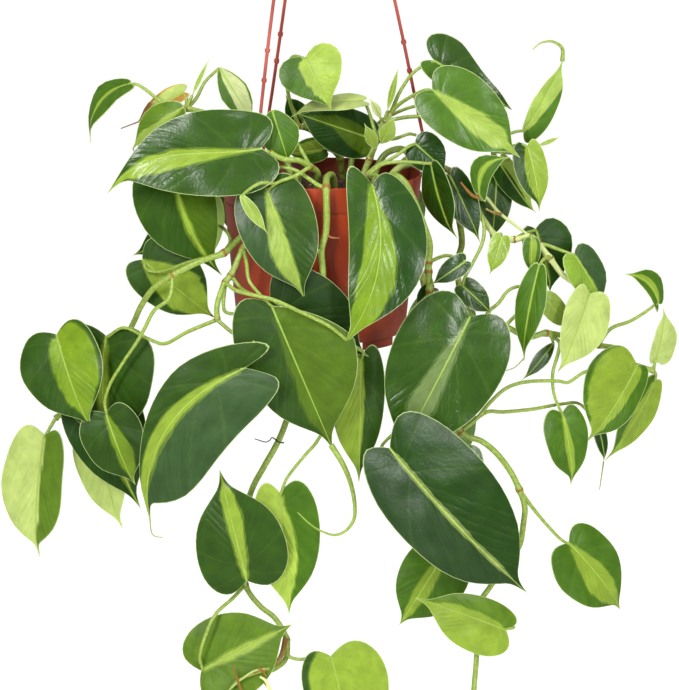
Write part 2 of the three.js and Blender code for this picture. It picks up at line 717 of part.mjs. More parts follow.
// The leafy stems of the crown and of the right side
const RIGHT_VINES = [
  {
    name: 'vine_crown_right',
    root: [34, 14],
    stem: [[32, -1, 12], [36, 10, 12], [42, 25, 12], [47, 38, 12], [52, 45, 12]],
    branches: [
      [[47, 38, 12], [60, 41, 13], [72, 42, 15], [95, 40, 20], [115, 27, 25], [128, 16, 28]],
      [[42, 25, 12], [55, 25.5, 14], [66, 29, 15], [71, 28, 15]],
    ],
    leaves: [
      {
        id: 27, base: [83, 62, 36], tip: [149, 11.5, 56], half: [28, 24],
        petiole: [[52, 45, 12], [58, 51, 16], [71, 59, 26], [79, 62, 33]],
      },
      {
        id: 28, base: [84, 84, 18], tip: [143, 47, 32], half: [22, 14], oval: [-0.6, 0.5],
        petiole: [[52, 45, 12], [59, 61, 13], [69, 75, 15], [80, 82, 17]],
      },
      {
        id: 55, base: [30.5, 53.6, 4], tip: [-23, 44, 14], half: [12, 12], roll: 60,
        petiole: [[42, 25, 12], [39, 34, 8], [36, 44, 5], [33, 51, 4]],
      },
      {
        id: 56, base: [36, 26, -14], tip: [-20, 45, -20], half: [20, 17],
        petiole: [[36, 10, 12], [40, 22, 0], [39, 26, -10]],
      },
      {
        id: 59, base: [45, 22, 20], tip: [55, 42, 24], half: [6, 7], lobes: [0.2, 0.2],
        petiole: [[42, 25, 12]],
      },
      {
        id: 61, base: [41, 18, 20], tip: [32, 37, 26], half: [5, 5], lobes: [0.2, 0.2],
        petiole: [[36, 10, 12]],
      },
      {
        id: 60, base: [49, 45, 16], tip: [58, 80.6, 16], half: [2.8, 2.8], lobes: [0, 0],
        petiole: [[47, 38, 12]],
      },
      {
        id: 62, base: [44, 41, 18], tip: [36, 56, 20], half: [3, 4], lobes: [0.2, 0.2],
        petiole: [[47, 38, 12]],
      },
      {
        id: 29, base: [151, 30, 30], tip: [182, 85, 34], half: [7, 13], lobes: [0.3, 1],
        petiole: [[128, 16, 28], [137, 27, 29], [147, 31, 30]],
        tail: [[180, 93, 35], [173, 98, 36], [164, 97, 36], [158, 92, 36]],
      },
      {
        id: 30, base: [162, 20, 32], tip: [179, 27, 34], half: [2, 2], lobes: [0, 0],
        petiole: [[128, 16, 28], [148, 15, 30]],
      },
      {
        id: 31, base: [154, 20, 40], tip: [164, -29, 48], half: [11, 14],
        petiole: [[128, 16, 28], [140, 19, 34], [150, 21, 39]],
      },
      {
        id: 32, base: [133, 8, 26], tip: [160, -31, 34], half: [10, 10], roll: 35,
        petiole: [[128, 16, 28]],
      },
      {
        id: 34, base: [131, 2, 16], tip: [127, -54, 22], half: [13, 13],
        petiole: [[128, 16, 28], [129, 8, 18]],
      },
    ],
  },
  {
    name: 'vine_right_upper',
    root: [47, 22],
    stem: [
      [56, 2, 18], [70, 7, 15], [84, 6, 16], [98, 0, 20], [105, -8, 26], [110, -15, 30], [115, -24, 34],
      [121, -35, 36], [132, -48, 40], [144, -50, 42], [156, -48, 44], [162, -53, 46], [171, -64, 48],
      [180, -76, 50], [190, -83, 52], [199, -87, 54],
    ],
    branches: [[[110, -15, 30], [121, -17, 32], [132, -29, 34], [143, -38, 38], [154, -46, 43]]],
    leaves: [
      {
        id: 26, base: [96, -2, 32], tip: [119, -52, 44], half: [12, 13],
        petiole: [[98, 0, 20], [98, 0, 26]],
      },
      {
        id: 33, base: [118, -14, 50], tip: [143, 11, 58], half: [10, 9], sweep: -0.3,
        petiole: [[110, -15, 30], [120, -20, 40], [119, -18, 47]],
      },
      {
        id: 38, base: [135, -48, 52], tip: [126, -76.5, 56], half: [8, 8],
        petiole: [[132, -48, 40], [134, -46, 47]],
      },
      {
        id: 35, base: [160, -42, 34], tip: [172, -90, 36], half: [24, 13],
        petiole: [[144, -50, 42], [153, -45, 37]],
      },
      {
        id: 36, base: [157, -50, 50], tip: [156, -76, 51], half: [7, 7],
        petiole: [[156, -48, 44], [157, -47, 48]],
      },
      {
        id: 37, base: [163, -69, 66], tip: [150, -141, 70], half: [12, 12], roll: 45, lobes: [0.5, 0.5],
        petiole: [[171, -64, 48], [169, -63, 58], [165, -66, 64]],
        tail: [[144, -146, 70], [138, -148, 70]],
      },
      {
        id: 39, base: [189, -61, 54], tip: [211, -100.5, 58], half: [15, 14],
        petiole: [[162, -53, 46], [168, -54, 47], [179, -58, 50]],
      },
      {
        id: 41, base: [200, -91, 64], tip: [178, -150, 68], half: [21, 14],
        petiole: [[199, -87, 54], [200, -88, 59]],
      },
      {
        id: 70, base: [105, -84, 54], tip: [128, -106, 58], half: [10, 10],
        petiole: [[115, -24, 34], [121, -36, 42], [121, -50, 46], [113, -68, 50], [107, -79, 53]],
      },
    ],
  },
  {
    name: 'vine_right_lower',
    root: [54, -14],
    stem: [
      [64, 10, -16], [78, 8, -16], [89, 0, -13], [98, -18, -6], [103, -36, 4], [105, -53, 14],
      [102, -66, 22],
      [104, -90, 34], [112, -108, 44], [120, -115, 50], [137, -115, 54], [154, -123, 55],
      [168, -120, 55],
      [188, -124, 53], [207, -129, 53], [222, -132, 54], [233, -143, 54], [239, -145, 54],
      [248, -148, 54],
    ],
    branches: [[[137, -115, 54], [146, -106, 50], [157, -96, 48]]],
    leaves: [
      {
        id: 42, base: [167, -94, 51], tip: [186, -117, 50], half: [9, 9],
        petiole: [
          [120, -115, 50], [125, -104, 49], [132, -98, 49], [140, -88, 49], [149, -85, 49],
          [160, -89, 50],
        ],
      },
      {
        id: 43, base: [180, -180, 68], tip: [188, -234, 70], half: [16, 17],
        petiole: [[168, -120, 55], [178, -127, 57], [177, -135, 59], [173, -150, 63], [174, -166, 66]],
      },
      {
        id: 71, base: [174, -127, 47], tip: [150, -156, 50], half: [6, 6], lobes: [0.2, 0.2],
        petiole: [[168, -120, 55], [172, -123, 50]],
      },
      {
        id: 72, base: [250, -155, 50], tip: [214, -216, 46], half: [12, 12], lobes: [0.6, 0.6],
        petiole: [[248, -148, 54], [250, -151, 52]],
      },
      {
        id: 74, base: [252, -98, 52], tip: [227, -76, 52], half: [6, 11], sweep: 0.15,
        petiole: [[207, -129, 53], [216, -117, 53], [231, -111, 52], [244, -103, 52]],
      },
      {
        id: 75, base: [250, -140, 52], tip: [257, -102, 54], half: [6, 13],
        petiole: [[248, -148, 54]],
      },
    ],
  },
  {
    name: 'vine_lower_right',
    root: [46, 40],
    stem: [
      [54, -2, 50], [62, -7, 56], [68, -18, 60], [76, -38, 62], [81, -54, 62], [80, -67, 62],
      [80, -74, 63],
      [81, -89, 66], [86, -120, 74], [94, -155, 80], [104, -194, 84], [120, -201, 86], [131, -210, 86],
      [141, -223, 86], [148, -237, 86], [152, -250, 86], [151, -263, 86], [148, -279, 86],
      [141, -289, 86],
      [126, -310, 85], [117, -324, 82], [116, -345, 80], [116, -361, 80], [114, -387, 80],
      [113, -410, 80],
    ],
    leaves: [
      {
        id: 45, base: [111, -108, 88], tip: [55, -215, 94], half: [42, 43],
        petiole: [[81, -89, 66], [90, -92, 70], [102, -98, 78]],
      },
      {
        id: 46, base: [51, -206, 114], tip: [157, -316, 98], half: [46, 36],
        sweep: 0.03, oval: [1.1, 1.1],
        petiole: [[86, -120, 74], [74, -160, 82], [58, -190, 86], [46, -203, 94], [46, -206, 106]],
      },
      {
        id: 47, base: [92, -285, 72], tip: [58, -339, 76], half: [28, 24],
        petiole: [[141, -289, 86], [120, -281, 78], [104, -279, 74]],
      },
      {
        id: 48, base: [138, -342, 88], tip: [71, -318, 92], half: [25, 18],
        petiole: [[117, -324, 82], [126, -334, 80], [138, -337, 82], [144, -340, 86]],
      },
      {
        id: 49, base: [185, -277, 80], tip: [225.5, -327, 84], half: [24, 28],
        petiole: [[148, -237, 86], [159, -252, 84], [170, -265, 82], [180, -275, 80]],
      },
      {
        id: 44, base: [236, -144, 67], tip: [200, -202, 75], half: [15, 32], oval: [1.3, 1.3],
        petiole: [
          [104, -194, 84], [115, -185, 80], [127, -171, 78], [137, -162, 76], [146, -158, 74],
          [158, -156, 72],
          [178, -156, 70], [184, -157, 70], [195, -150, 68], [203, -147, 66], [218, -142, 64],
        ],
      },
      {
        id: 73, base: [206, -187, 53], tip: [212, -217, 54], half: [5, 5],
        petiole: [
          [104, -194, 84], [124, -179, 74], [135, -179, 70], [157, -177, 66], [180, -173, 58],
          [193, -173, 51.5],
        ],
        tail: [[208, -237, 54]],
      },
      {
        id: 68, base: [108, -66, 70], tip: [82, -84, 74], half: [8, 9],
        petiole: [[80, -67, 62], [94, -62, 66]],
      },
      { id: 69, base: [84, -86, 58], tip: [70, -100, 60], half: [7, 7], petiole: [[80, -74, 63]] },
    ],
  },
  {
    name: 'shoot_crown_left',
    root: [16, -52],
    stem: [[15, 2, -50], [14, 10, -46], [5, 23, -38], [-6, 31, -28], [-17, 35, -20]],
    leaves: [
      {
        id: 54, base: [-12, 86, 12], tip: [7, 48, 26], half: [25, 25], oval: [0.4, 0.4],
        petiole: [[-17, 35, -20], [-24, 55, -12], [-26, 74, -2], [-21, 87, 8]],
      },
      { id: 57, base: [-14, 38, -26], tip: [-27, 58, -22], half: [9, 9], petiole: [[-6, 31, -28]] },
      {
        id: 66, base: [2, 18, -62], tip: [-26, 14, -74], half: [10, 10],
        petiole: [[14, 10, -46], [8, 16, -56]],
      },
    ],
  },
];
// The leafy stems behind the pot
const BACK_VINES = [
  {
    name: 'vine_back_trailing',
    root: [-24, -46],
    stem: [
      [-28, 12, -56], [-34, 19, -66], [-36, 18, -74], [-30, 2, -86], [-20, -30, -88], [-8, -80, -84],
      [0, -130, -78], [-6, -165, -74], [-10, -185, -72],
    ],
    leaves: [
      {
        id: 101, base: [-8, -14, -94], tip: [4, -84, -104], half: [25, 25], roll: 180,
        petiole: [[-30, 2, -86], [-20, -6, -92]],
      },
      {
        id: 102, base: [8, -78, -92], tip: [-4, -128, -98], half: [22, 22], roll: 180,
        petiole: [[-8, -80, -84]],
      },
      {
        id: 103, base: [-4, -128, -86], tip: [-10, -192, -92], half: [25, 25], roll: 180,
        petiole: [[0, -130, -78]],
      },
      {
        id: 104, base: [-12, -150, -62], tip: [4, -194, -56], half: [17, 17],
        petiole: [[0, -130, -78]],
      },
    ],
  },
  {
    name: 'vine_back_left',
    root: [-34, -34],
    stem: [
      [-44, 6, -34], [-58, 12, -36], [-68, 14, -36], [-77, 12, -38], [-86, 0, -48], [-96, -26, -60],
      [-98, -50, -66],
    ],
    leaves: [
      {
        id: 111, base: [-60, 8, -82], tip: [-56, -62, -98], half: [23, 23], roll: 180,
        petiole: [[-77, 12, -38], [-74, 12, -56], [-66, 12, -70]],
      },
      {
        id: 112, base: [-92, 6, -62], tip: [-134, -20, -60], half: [20, 20], roll: 180,
        petiole: [[-77, 12, -38], [-85, 9, -52]],
      },
      {
        id: 113, base: [-94, -16, -82], tip: [-94, -78, -92], half: [22, 22], roll: 180,
        petiole: [[-86, 0, -48], [-92, -10, -68]],
      },
      {
        id: 114, base: [-102, -48, -54], tip: [-112, -80, -44], half: [14, 14],
        petiole: [[-98, -50, -66]],
      },
      {
        id: 133, base: [-66, 26, -30], tip: [-112, 24, -46], half: [19, 19], roll: 180,
        petiole: [[-58, 12, -36], [-60, 20, -33]],
      },
    ],
  },
  {
    name: 'vine_back_right',
    root: [40, -30],
    stem: [
      [46, 12, -40], [54, 17, -50], [62, 17, -58], [68, 6, -66], [68, -14, -72], [70, -50, -70],
      [80, -100, -52], [90, -145, -38], [96, -180, -28],
      [98, -215, -22],
    ],
    leaves: [
      {
        id: 121, base: [56, -12, -88], tip: [34, -80, -100], half: [28, 28], roll: 180,
        petiole: [[68, 6, -66], [64, -2, -80]],
      },
      {
        id: 122, base: [92, -96, -64], tip: [84, -160, -74], half: [27, 27], roll: 180,
        petiole: [[80, -100, -52]],
      },
      {
        id: 123, base: [84, -162, -46], tip: [102, -232, -48], half: [28, 28], roll: 180,
        petiole: [[90, -145, -38]],
      },
      {
        id: 124, base: [104, -206, -8], tip: [86, -262, -2], half: [22, 22],
        petiole: [[96, -180, -28]],
      },
    ],
  },
  {
    name: 'shoot_back_crown',
    root: [22, -40],
    stem: [[22, 6, -44], [24, 18, -52], [26, 26, -58]],
    leaves: [
      {
        id: 131, base: [22, 34, -66], tip: [-6, 22, -120], half: [21, 21], roll: 180,
        petiole: [[26, 26, -58]],
      },
      {
        id: 132, base: [88, 48, -40], tip: [122, 34, -78], half: [18, 18], roll: 180,
        petiole: [[24, 18, -52], [44, 38, -56], [72, 50, -46]],
      },
    ],
  },
];
const ALL_VINES = [...LEFT_VINES, ...RIGHT_VINES, ...BACK_VINES];

const plant = new THREE.Group();
plant.name = 'brasil_philodendron';
plant.add(makePot());
plant.add(makeSoil(ALL_VINES.map((vine) => vine.root)));
plant.add(makeHook());
for (let i = 0; i < LUG.angles.length; i += 1) {
  plant.add(makeStrand(i));
}
for (const vine of ALL_VINES) {
  plant.add(makeVine(vine));
}

export default plant;
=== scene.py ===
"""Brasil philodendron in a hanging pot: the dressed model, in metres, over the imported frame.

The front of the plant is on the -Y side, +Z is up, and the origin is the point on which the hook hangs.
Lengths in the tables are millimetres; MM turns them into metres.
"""

from __future__ import annotations

import logging
import math
from dataclasses import dataclass
from enum import Enum
from typing import Any, Iterable, Sequence

import bmesh
import bpy
from bpy.types import Material, Mesh, Object
from mathutils import Matrix, Vector, noise

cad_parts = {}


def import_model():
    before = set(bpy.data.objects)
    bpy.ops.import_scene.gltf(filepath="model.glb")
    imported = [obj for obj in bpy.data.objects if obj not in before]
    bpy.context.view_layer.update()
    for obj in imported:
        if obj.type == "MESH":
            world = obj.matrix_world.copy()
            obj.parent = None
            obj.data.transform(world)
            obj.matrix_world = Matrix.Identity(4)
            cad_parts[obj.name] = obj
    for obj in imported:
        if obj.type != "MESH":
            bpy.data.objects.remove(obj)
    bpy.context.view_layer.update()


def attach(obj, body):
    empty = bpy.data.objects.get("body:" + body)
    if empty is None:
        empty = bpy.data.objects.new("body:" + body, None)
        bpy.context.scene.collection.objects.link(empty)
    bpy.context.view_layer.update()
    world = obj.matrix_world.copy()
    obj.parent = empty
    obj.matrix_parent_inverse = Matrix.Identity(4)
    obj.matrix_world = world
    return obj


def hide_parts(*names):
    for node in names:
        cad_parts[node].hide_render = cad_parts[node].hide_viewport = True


log = logging.getLogger("philodendron")

MM = 0.001
Place = tuple[float, float, float]
Colour = tuple[float, float, float, float]

RIM_DROP = 375.0  # from the hanging point down to the pot's rim


def linear(hex_value: str) -> Colour:
    """Turns an sRGB hex value into the linear colour that shaders read.

    Args:
        hex_value: six hex digits, with or without a leading #.

    Returns:
        Linear red, green, blue and an alpha of one.
    """
    digits = hex_value.lstrip("#")
    channels = []
    for start in (0, 2, 4):
        value = int(digits[start : start + 2], 16) / 255.0
        channels.append(value / 12.92 if value <= 0.04045 else ((value + 0.055) / 1.055) ** 2.4)
    return channels[0], channels[1], channels[2], 1.0


def lerp(start: float, end: float, share: float) -> float:
    """The value that lies that share of the way from start to end."""
    return start + (end - start) * share


def smoothstep(low: float, high: float, value: float) -> float:
    """A soft step from 0 at low to 1 at high."""
    share = min(1.0, max(0.0, (value - low) / (high - low)))
    return share * share * (3.0 - 2.0 * share)


class Sight:
    """The line along which the plant was seen, and the places read along it."""

    distance = 3000.0
    elevation = math.radians(11.5)
    centre_right = 13.5  # the picture's middle, from the rim's centre
    centre_up = -128.9
    picture_height = 516.0
    wrap_from = 60.0  # past this distance to either side, the foliage wraps round the pot
    wrap_curve = 0.002  # how fast it falls back there, by the square of the distance
    right = Vector((1.0, 0.0, 0.0))
    up = Vector((0.0, math.sin(elevation), math.cos(elevation)))
    toward = Vector((0.0, -math.cos(elevation), math.sin(elevation)))
    rim_centre = Vector((0.0, 0.0, -RIM_DROP))
    middle = rim_centre + right * centre_right + up * centre_up
    eye = middle + toward * distance

    @classmethod
    def beyond_wrap(cls, right: float) -> float:
        """How far a place lies past the stretch in front of the pot, signed, in millimetres."""
        return math.copysign(max(0.0, abs(right) - cls.wrap_from), right)

    @classmethod
    def seen(cls, place: Place) -> Vector:
        """Turns a place read from the front into a point of the row frame.

        Args:
            place: millimetres right of the rim's centre, above it, and out from the pot's axis.

        Returns:
            The point, in millimetres.
        """
        right, up, out = place
        ray = cls.rim_centre + cls.right * right + cls.up * up - cls.eye
        front = out - cls.wrap_curve * cls.beyond_wrap(right) ** 2
        return cls.eye + ray * ((-front - cls.eye.y) / ray.y)


class Step(Enum):
    """A node as this file uses it: its class, the inputs that it is fed, its result and its settings.

    A result of None stands for all the node's outputs.
    """

    # Numbers and vectors
    ADD = ("ShaderNodeMath", (0, 1), 0, {"operation": "ADD"})
    SUBTRACT = ("ShaderNodeMath", (0, 1), 0, {"operation": "SUBTRACT"})
    MULTIPLY = ("ShaderNodeMath", (0, 1), 0, {"operation": "MULTIPLY"})
    MULTIPLY_ADD = ("ShaderNodeMath", (0, 1, 2), 0, {"operation": "MULTIPLY_ADD"})
    DIVIDE = ("ShaderNodeMath", (0, 1), 0, {"operation": "DIVIDE"})
    MAXIMUM = ("ShaderNodeMath", (0, 1), 0, {"operation": "MAXIMUM"})
    ABSOLUTE = ("ShaderNodeMath", (0,), 0, {"operation": "ABSOLUTE"})
    FRACTION = ("ShaderNodeMath", (0,), 0, {"operation": "FRACT"})
    SINE = ("ShaderNodeMath", (0,), 0, {"operation": "SINE"})
    RAMP = (
        "ShaderNodeMapRange", ("Value", "From Min", "From Max"), 0, {"interpolation_type": "SMOOTHSTEP"},
    )
    VECTOR = ("ShaderNodeCombineXYZ", (0, 1, 2), 0, {})
    VECTOR_Z = ("ShaderNodeSeparateXYZ", (0,), 2, {})
    VECTOR_PRODUCT = ("ShaderNodeVectorMath", (0, 1), 0, {"operation": "MULTIPLY"})
    VECTOR_LESS = ("ShaderNodeVectorMath", (0, 1), 0, {"operation": "SUBTRACT"})
    VECTOR_SCALED = ("ShaderNodeVectorMath", (0, "Scale"), 0, {"operation": "SCALE"})
    DOT = ("ShaderNodeVectorMath", (0, 1), 1, {"operation": "DOT_PRODUCT"})
    NOISE = ("ShaderNodeTexNoise", ("Vector", "Scale", "Detail"), 0, {})
    NOISE_VECTOR = ("ShaderNodeTexNoise", ("Vector", "Scale", "Detail"), 1, {})
    # Materials
    NUMBER = ("ShaderNodeAttribute", (), "Fac", {})
    COLOUR = ("ShaderNodeAttribute", (), "Color", {})
    PLACE = ("ShaderNodeTexCoord", (), "Object", {})
    SKIN_PLACE = ("ShaderNodeNewGeometry", (), "Position", {})
    SKIN_NORMAL = ("ShaderNodeNewGeometry", (), "Normal", {})
    MIX = ("ShaderNodeMix", (0, 6, 7), 2, {"data_type": "RGBA"})
    TINT = ("ShaderNodeMix", (0, 6, 7), 2, {"data_type": "RGBA", "blend_type": "MULTIPLY"})
    BUMP = ("ShaderNodeBump", ("Height", "Distance", "Strength"), 0, {})
    SURFACE = (
        "ShaderNodeBsdfPrincipled", ("Base Color", "Roughness", "Normal", "Specular IOR Level"), 0, {},
    )
    MATERIAL_END = ("ShaderNodeOutputMaterial", ("Surface",), None, {})
    # Shapes
    TREE_START = ("NodeGroupInput", (), None, {})
    TREE_END = ("NodeGroupOutput", (0,), None, {})
    THICKNESS = ("GeometryNodeInputNamedAttribute", ("Name",), 0, {"data_type": "FLOAT"})
    INDEX = ("GeometryNodeInputIndex", (), 0, {})
    POSITION = ("GeometryNodeInputPosition", (), 0, {})
    NORMAL = ("GeometryNodeInputNormal", (), 0, {})
    CURVE = ("GeometryNodeMeshToCurve", (0,), 0, {})
    CIRCLE = ("GeometryNodeCurvePrimitiveCircle", ("Resolution", "Radius"), 0, {})
    TUBE = ("GeometryNodeCurveToMesh", ("Curve", "Profile Curve", "Scale", "Fill Caps"), 0, {})
    BALL = ("GeometryNodeMeshIcoSphere", ("Radius", "Subdivisions"), 0, {})
    MOVED = ("GeometryNodeSetPosition", ("Geometry", "Offset"), 0, {})
    OVER = ("FunctionNodeCompare", (0, 1), 0, {"operation": "GREATER_THAN"})
    POINTS = ("GeometryNodePoints", ("Count",), 0, {})
    STREWN = (
        "GeometryNodeDistributePointsOnFaces", ("Mesh", "Selection", "Density", "Seed"), 0,
        {"distribute_method": "RANDOM"},
    )
    RANDOM_NUMBER = ("FunctionNodeRandomValue", (2, 3, "Seed"), 1, {"data_type": "FLOAT"})
    RANDOM_VECTOR = ("FunctionNodeRandomValue", (0, 1, "Seed"), 0, {"data_type": "FLOAT_VECTOR"})
    COPIES = ("GeometryNodeInstanceOnPoints", ("Points", "Instance", "Rotation", "Scale"), 0, {})
    REALIZED = ("GeometryNodeRealizeInstances", (0,), 0, {})
    SMOOTH = ("GeometryNodeSetShadeSmooth", (0,), 0, {})
    DRESSED = ("GeometryNodeSetMaterial", ("Geometry", "Material"), 0, {})


class NodeSheet:
    """A node tree being written, with one short way of adding a node."""

    def __init__(self, tree: bpy.types.NodeTree) -> None:
        """Empties the tree and keeps it."""
        self.tree = tree
        tree.nodes.clear()

    def add(self, step: Step, *feeds: Any, **settings: Any) -> Any:
        """Adds a node with its settings and links.

        Args:
            step: the node, with the inputs that it takes.
            feeds: for each of those inputs a value, or the output socket that feeds it.
            settings: further settings of the node.

        Returns:
            The output socket with the result, or all the outputs.
        """
        kind, inputs, result, fixed = step.value
        node = self.tree.nodes.new(kind)
        for name, value in (fixed | settings).items():
            setattr(node, name, value)
        for key, feed in zip(inputs, feeds):
            if isinstance(feed, bpy.types.NodeSocket):
                self.tree.links.new(feed, node.inputs[key])
            else:
                node.inputs[key].default_value = feed
        return node.outputs if result is None else node.outputs[result]


class Shade(NodeSheet):
    """A surface material being written; place is the skin's own place on the object."""

    def __init__(self, name: str) -> None:
        """Makes the material.

        Args:
            name: the material's name.
        """
        self.material = bpy.data.materials.new(name)
        self.material.use_nodes = True
        super().__init__(self.material.node_tree)
        self.place = self.add(Step.PLACE)

    def close(self, *feeds: Any) -> Material:
        """Ends the material in its surface, and returns it.

        Args:
            feeds: the surface's colour and roughness, then if it has them its relief and its gloss.

        Returns:
            The finished material.
        """
        self.add(Step.MATERIAL_END, self.add(Step.SURFACE, *feeds))
        return self.material


# What each point of a blade tells its finish: its side vein, its millimetres from the midrib and the edge,
# its share of the leaf's length, how far inside the lime area it lies and how wide that is, whether it is
# on the underside, the leaf's own seed, and how dry and how dull it is
LEAF_VALUES = ("vein", "off", "edge", "share", "stripe", "width", "under", "seed", "dry", "dull")


@dataclass(frozen=True)
class LeafFinish:
    """Philodendron leaf: a waxed green skin over soft tissue, quilted between its side veins.

    The wax gives broad soft highlights on the upper face; the underside is paler and dull.
    Where two numbers stand together, the second is added for each unit of what drives it.
    """

    midrib: str = "93AE45"
    margin: str = "BFD08C"
    underside: str = "86A262"
    dried: str = "6B4A22"
    cloud: str = "A9B59A"
    grain: str = "A8B890"
    flames_per_vein: float = 0.55
    streaks_per_vein: float = 2.6
    clouds_per_mm: float = 0.08
    pores_per_mm: float = 0.5
    dents_per_mm: float = 0.045
    swing: tuple[float, float] = (0.05, 0.22)  # of the lime area's edge, by that area's width
    rib_width: tuple[float, float] = (1.15, -0.8)  # in millimetres, by the share of the leaf
    roughness: tuple[float, float] = (0.27, 0.3)  # by how dull the wax is
    gloss: tuple[float, float] = (0.4, -0.3)  # by how dull the wax is
    relief_mm: float = 0.6

    def material(self) -> Material:
        """The blade's material, which reads the leaf's own attributes.

        Returns:
            The material.
        """
        s = Shade("waxy_leaf")
        leaf = {label: s.add(Step.NUMBER, attribute_name=label) for label in LEAF_VALUES}
        dark, lime = (s.add(Step.COLOUR, attribute_name=label) for label in ("dark_tone", "lime_tone"))
        white, midrib = linear("FFFFFF"), linear(self.midrib)
        off = s.add(Step.ABSOLUTE, leaf["off"])
        # The lime area's edge runs along the side veins, so what unsettles it does too
        along = s.add(Step.VECTOR, leaf["vein"], leaf["seed"], s.add(Step.MULTIPLY, off, 0.05))
        flames = s.add(Step.NOISE, along, self.flames_per_vein, 1.0)
        streaks = s.add(Step.NOISE, along, self.streaks_per_vein, 3.0)
        # A wide lime area has long flames along its edge, a narrow stripe a nearly smooth one
        swing = s.add(Step.MULTIPLY_ADD, leaf["width"], self.swing[1], self.swing[0])
        push = s.add(Step.MULTIPLY, s.add(Step.SUBTRACT, flames, 0.5), swing)
        push = s.add(Step.MULTIPLY_ADD, s.add(Step.SUBTRACT, streaks, 0.5), 0.04, push)
        inside = s.add(Step.ADD, leaf["stripe"], push)
        between = s.add(Step.MIX, 0.35, dark, lime)
        colour = s.add(Step.MIX, s.add(Step.RAMP, inside, -0.05, -0.035), dark, between)
        marbling = s.add(Step.MULTIPLY, s.add(Step.RAMP, streaks, 0.5, 0.72), 0.45)
        marbled = s.add(Step.MIX, marbling, lime, between)
        colour = s.add(Step.MIX, s.add(Step.RAMP, inside, -0.008, 0.008), colour, marbled)
        # Cloudy unevenness about 12 mm across, and streaks between the veins
        cloud = s.add(Step.RAMP, s.add(Step.NOISE, s.place, self.clouds_per_mm / MM, 2.0), 0.25, 0.75)
        colour = s.add(Step.TINT, 0.4, colour, s.add(Step.MIX, cloud, linear(self.cloud), white))
        grain = s.add(Step.RAMP, streaks, 0.3, 0.7)
        colour = s.add(Step.TINT, 0.3, colour, s.add(Step.MIX, grain, linear(self.grain), white))
        # Side veins as faint paler lines, the midrib as a clear one, and a thin pale margin
        phase = s.add(Step.FRACTION, leaf["vein"])
        away = s.add(Step.ABSOLUTE, s.add(Step.SUBTRACT, phase, 0.5))
        side_veins = s.add(Step.MULTIPLY, s.add(Step.RAMP, away, 0.43, 0.5), 0.035)
        colour = s.add(Step.MIX, side_veins, colour, midrib)
        width = s.add(Step.MULTIPLY_ADD, leaf["share"], self.rib_width[1], self.rib_width[0])
        rib = s.add(Step.SUBTRACT, 1.0, s.add(Step.RAMP, s.add(Step.DIVIDE, off, width), 0.5, 1.0))
        colour = s.add(Step.MIX, s.add(Step.MULTIPLY, rib, 0.75), colour, midrib)
        rim = s.add(Step.SUBTRACT, 1.0, s.add(Step.RAMP, leaf["edge"], 0.15, 0.6))
        colour = s.add(Step.MIX, s.add(Step.MULTIPLY, rim, 0.6), colour, linear(self.margin))
        # A leaf dries from its tip, with a ragged edge, and its underside is paler
        ragged = s.add(Step.MULTIPLY_ADD, s.add(Step.SUBTRACT, grain, 0.5), 0.5, leaf["dry"])
        colour = s.add(Step.MIX, s.add(Step.RAMP, ragged, 0.45, 0.6), colour, linear(self.dried))
        beneath = s.add(Step.MIX, 0.5, colour, linear(self.underside))
        colour = s.add(Step.MIX, leaf["under"], colour, beneath)
        # Wax that has weathered, or the dull underside, scatters the light
        dull = s.add(Step.MAXIMUM, leaf["dull"], leaf["under"])
        rough = s.add(Step.MULTIPLY_ADD, dull, self.roughness[1], self.roughness[0])
        gloss = s.add(Step.MULTIPLY_ADD, dull, self.gloss[1], self.gloss[0])
        # Relief: pillows between the side veins, a sunk midrib, a grain along the veins, and broad dents
        pillow = s.add(Step.SINE, s.add(Step.MULTIPLY, phase, math.pi))
        inward = s.add(Step.RAMP, leaf["edge"], 0.5, 6.0)
        spread = s.add(Step.MULTIPLY, s.add(Step.RAMP, off, 0.5, 5.0), inward)
        pores = s.add(Step.NOISE, s.place, self.pores_per_mm / MM, 3.0)
        dents = s.add(Step.NOISE, s.place, self.dents_per_mm / MM, 0.0)
        height = s.add(Step.MULTIPLY, s.add(Step.MULTIPLY, pillow, spread), 0.5)
        for layer, depth in ((rib, -0.8), (streaks, 0.6), (pores, 0.3), (dents, 5.0)):
            height = s.add(Step.MULTIPLY_ADD, layer, depth, height)
        return s.close(colour, rough, s.add(Step.BUMP, height, self.relief_mm * MM, 0.8), gloss)


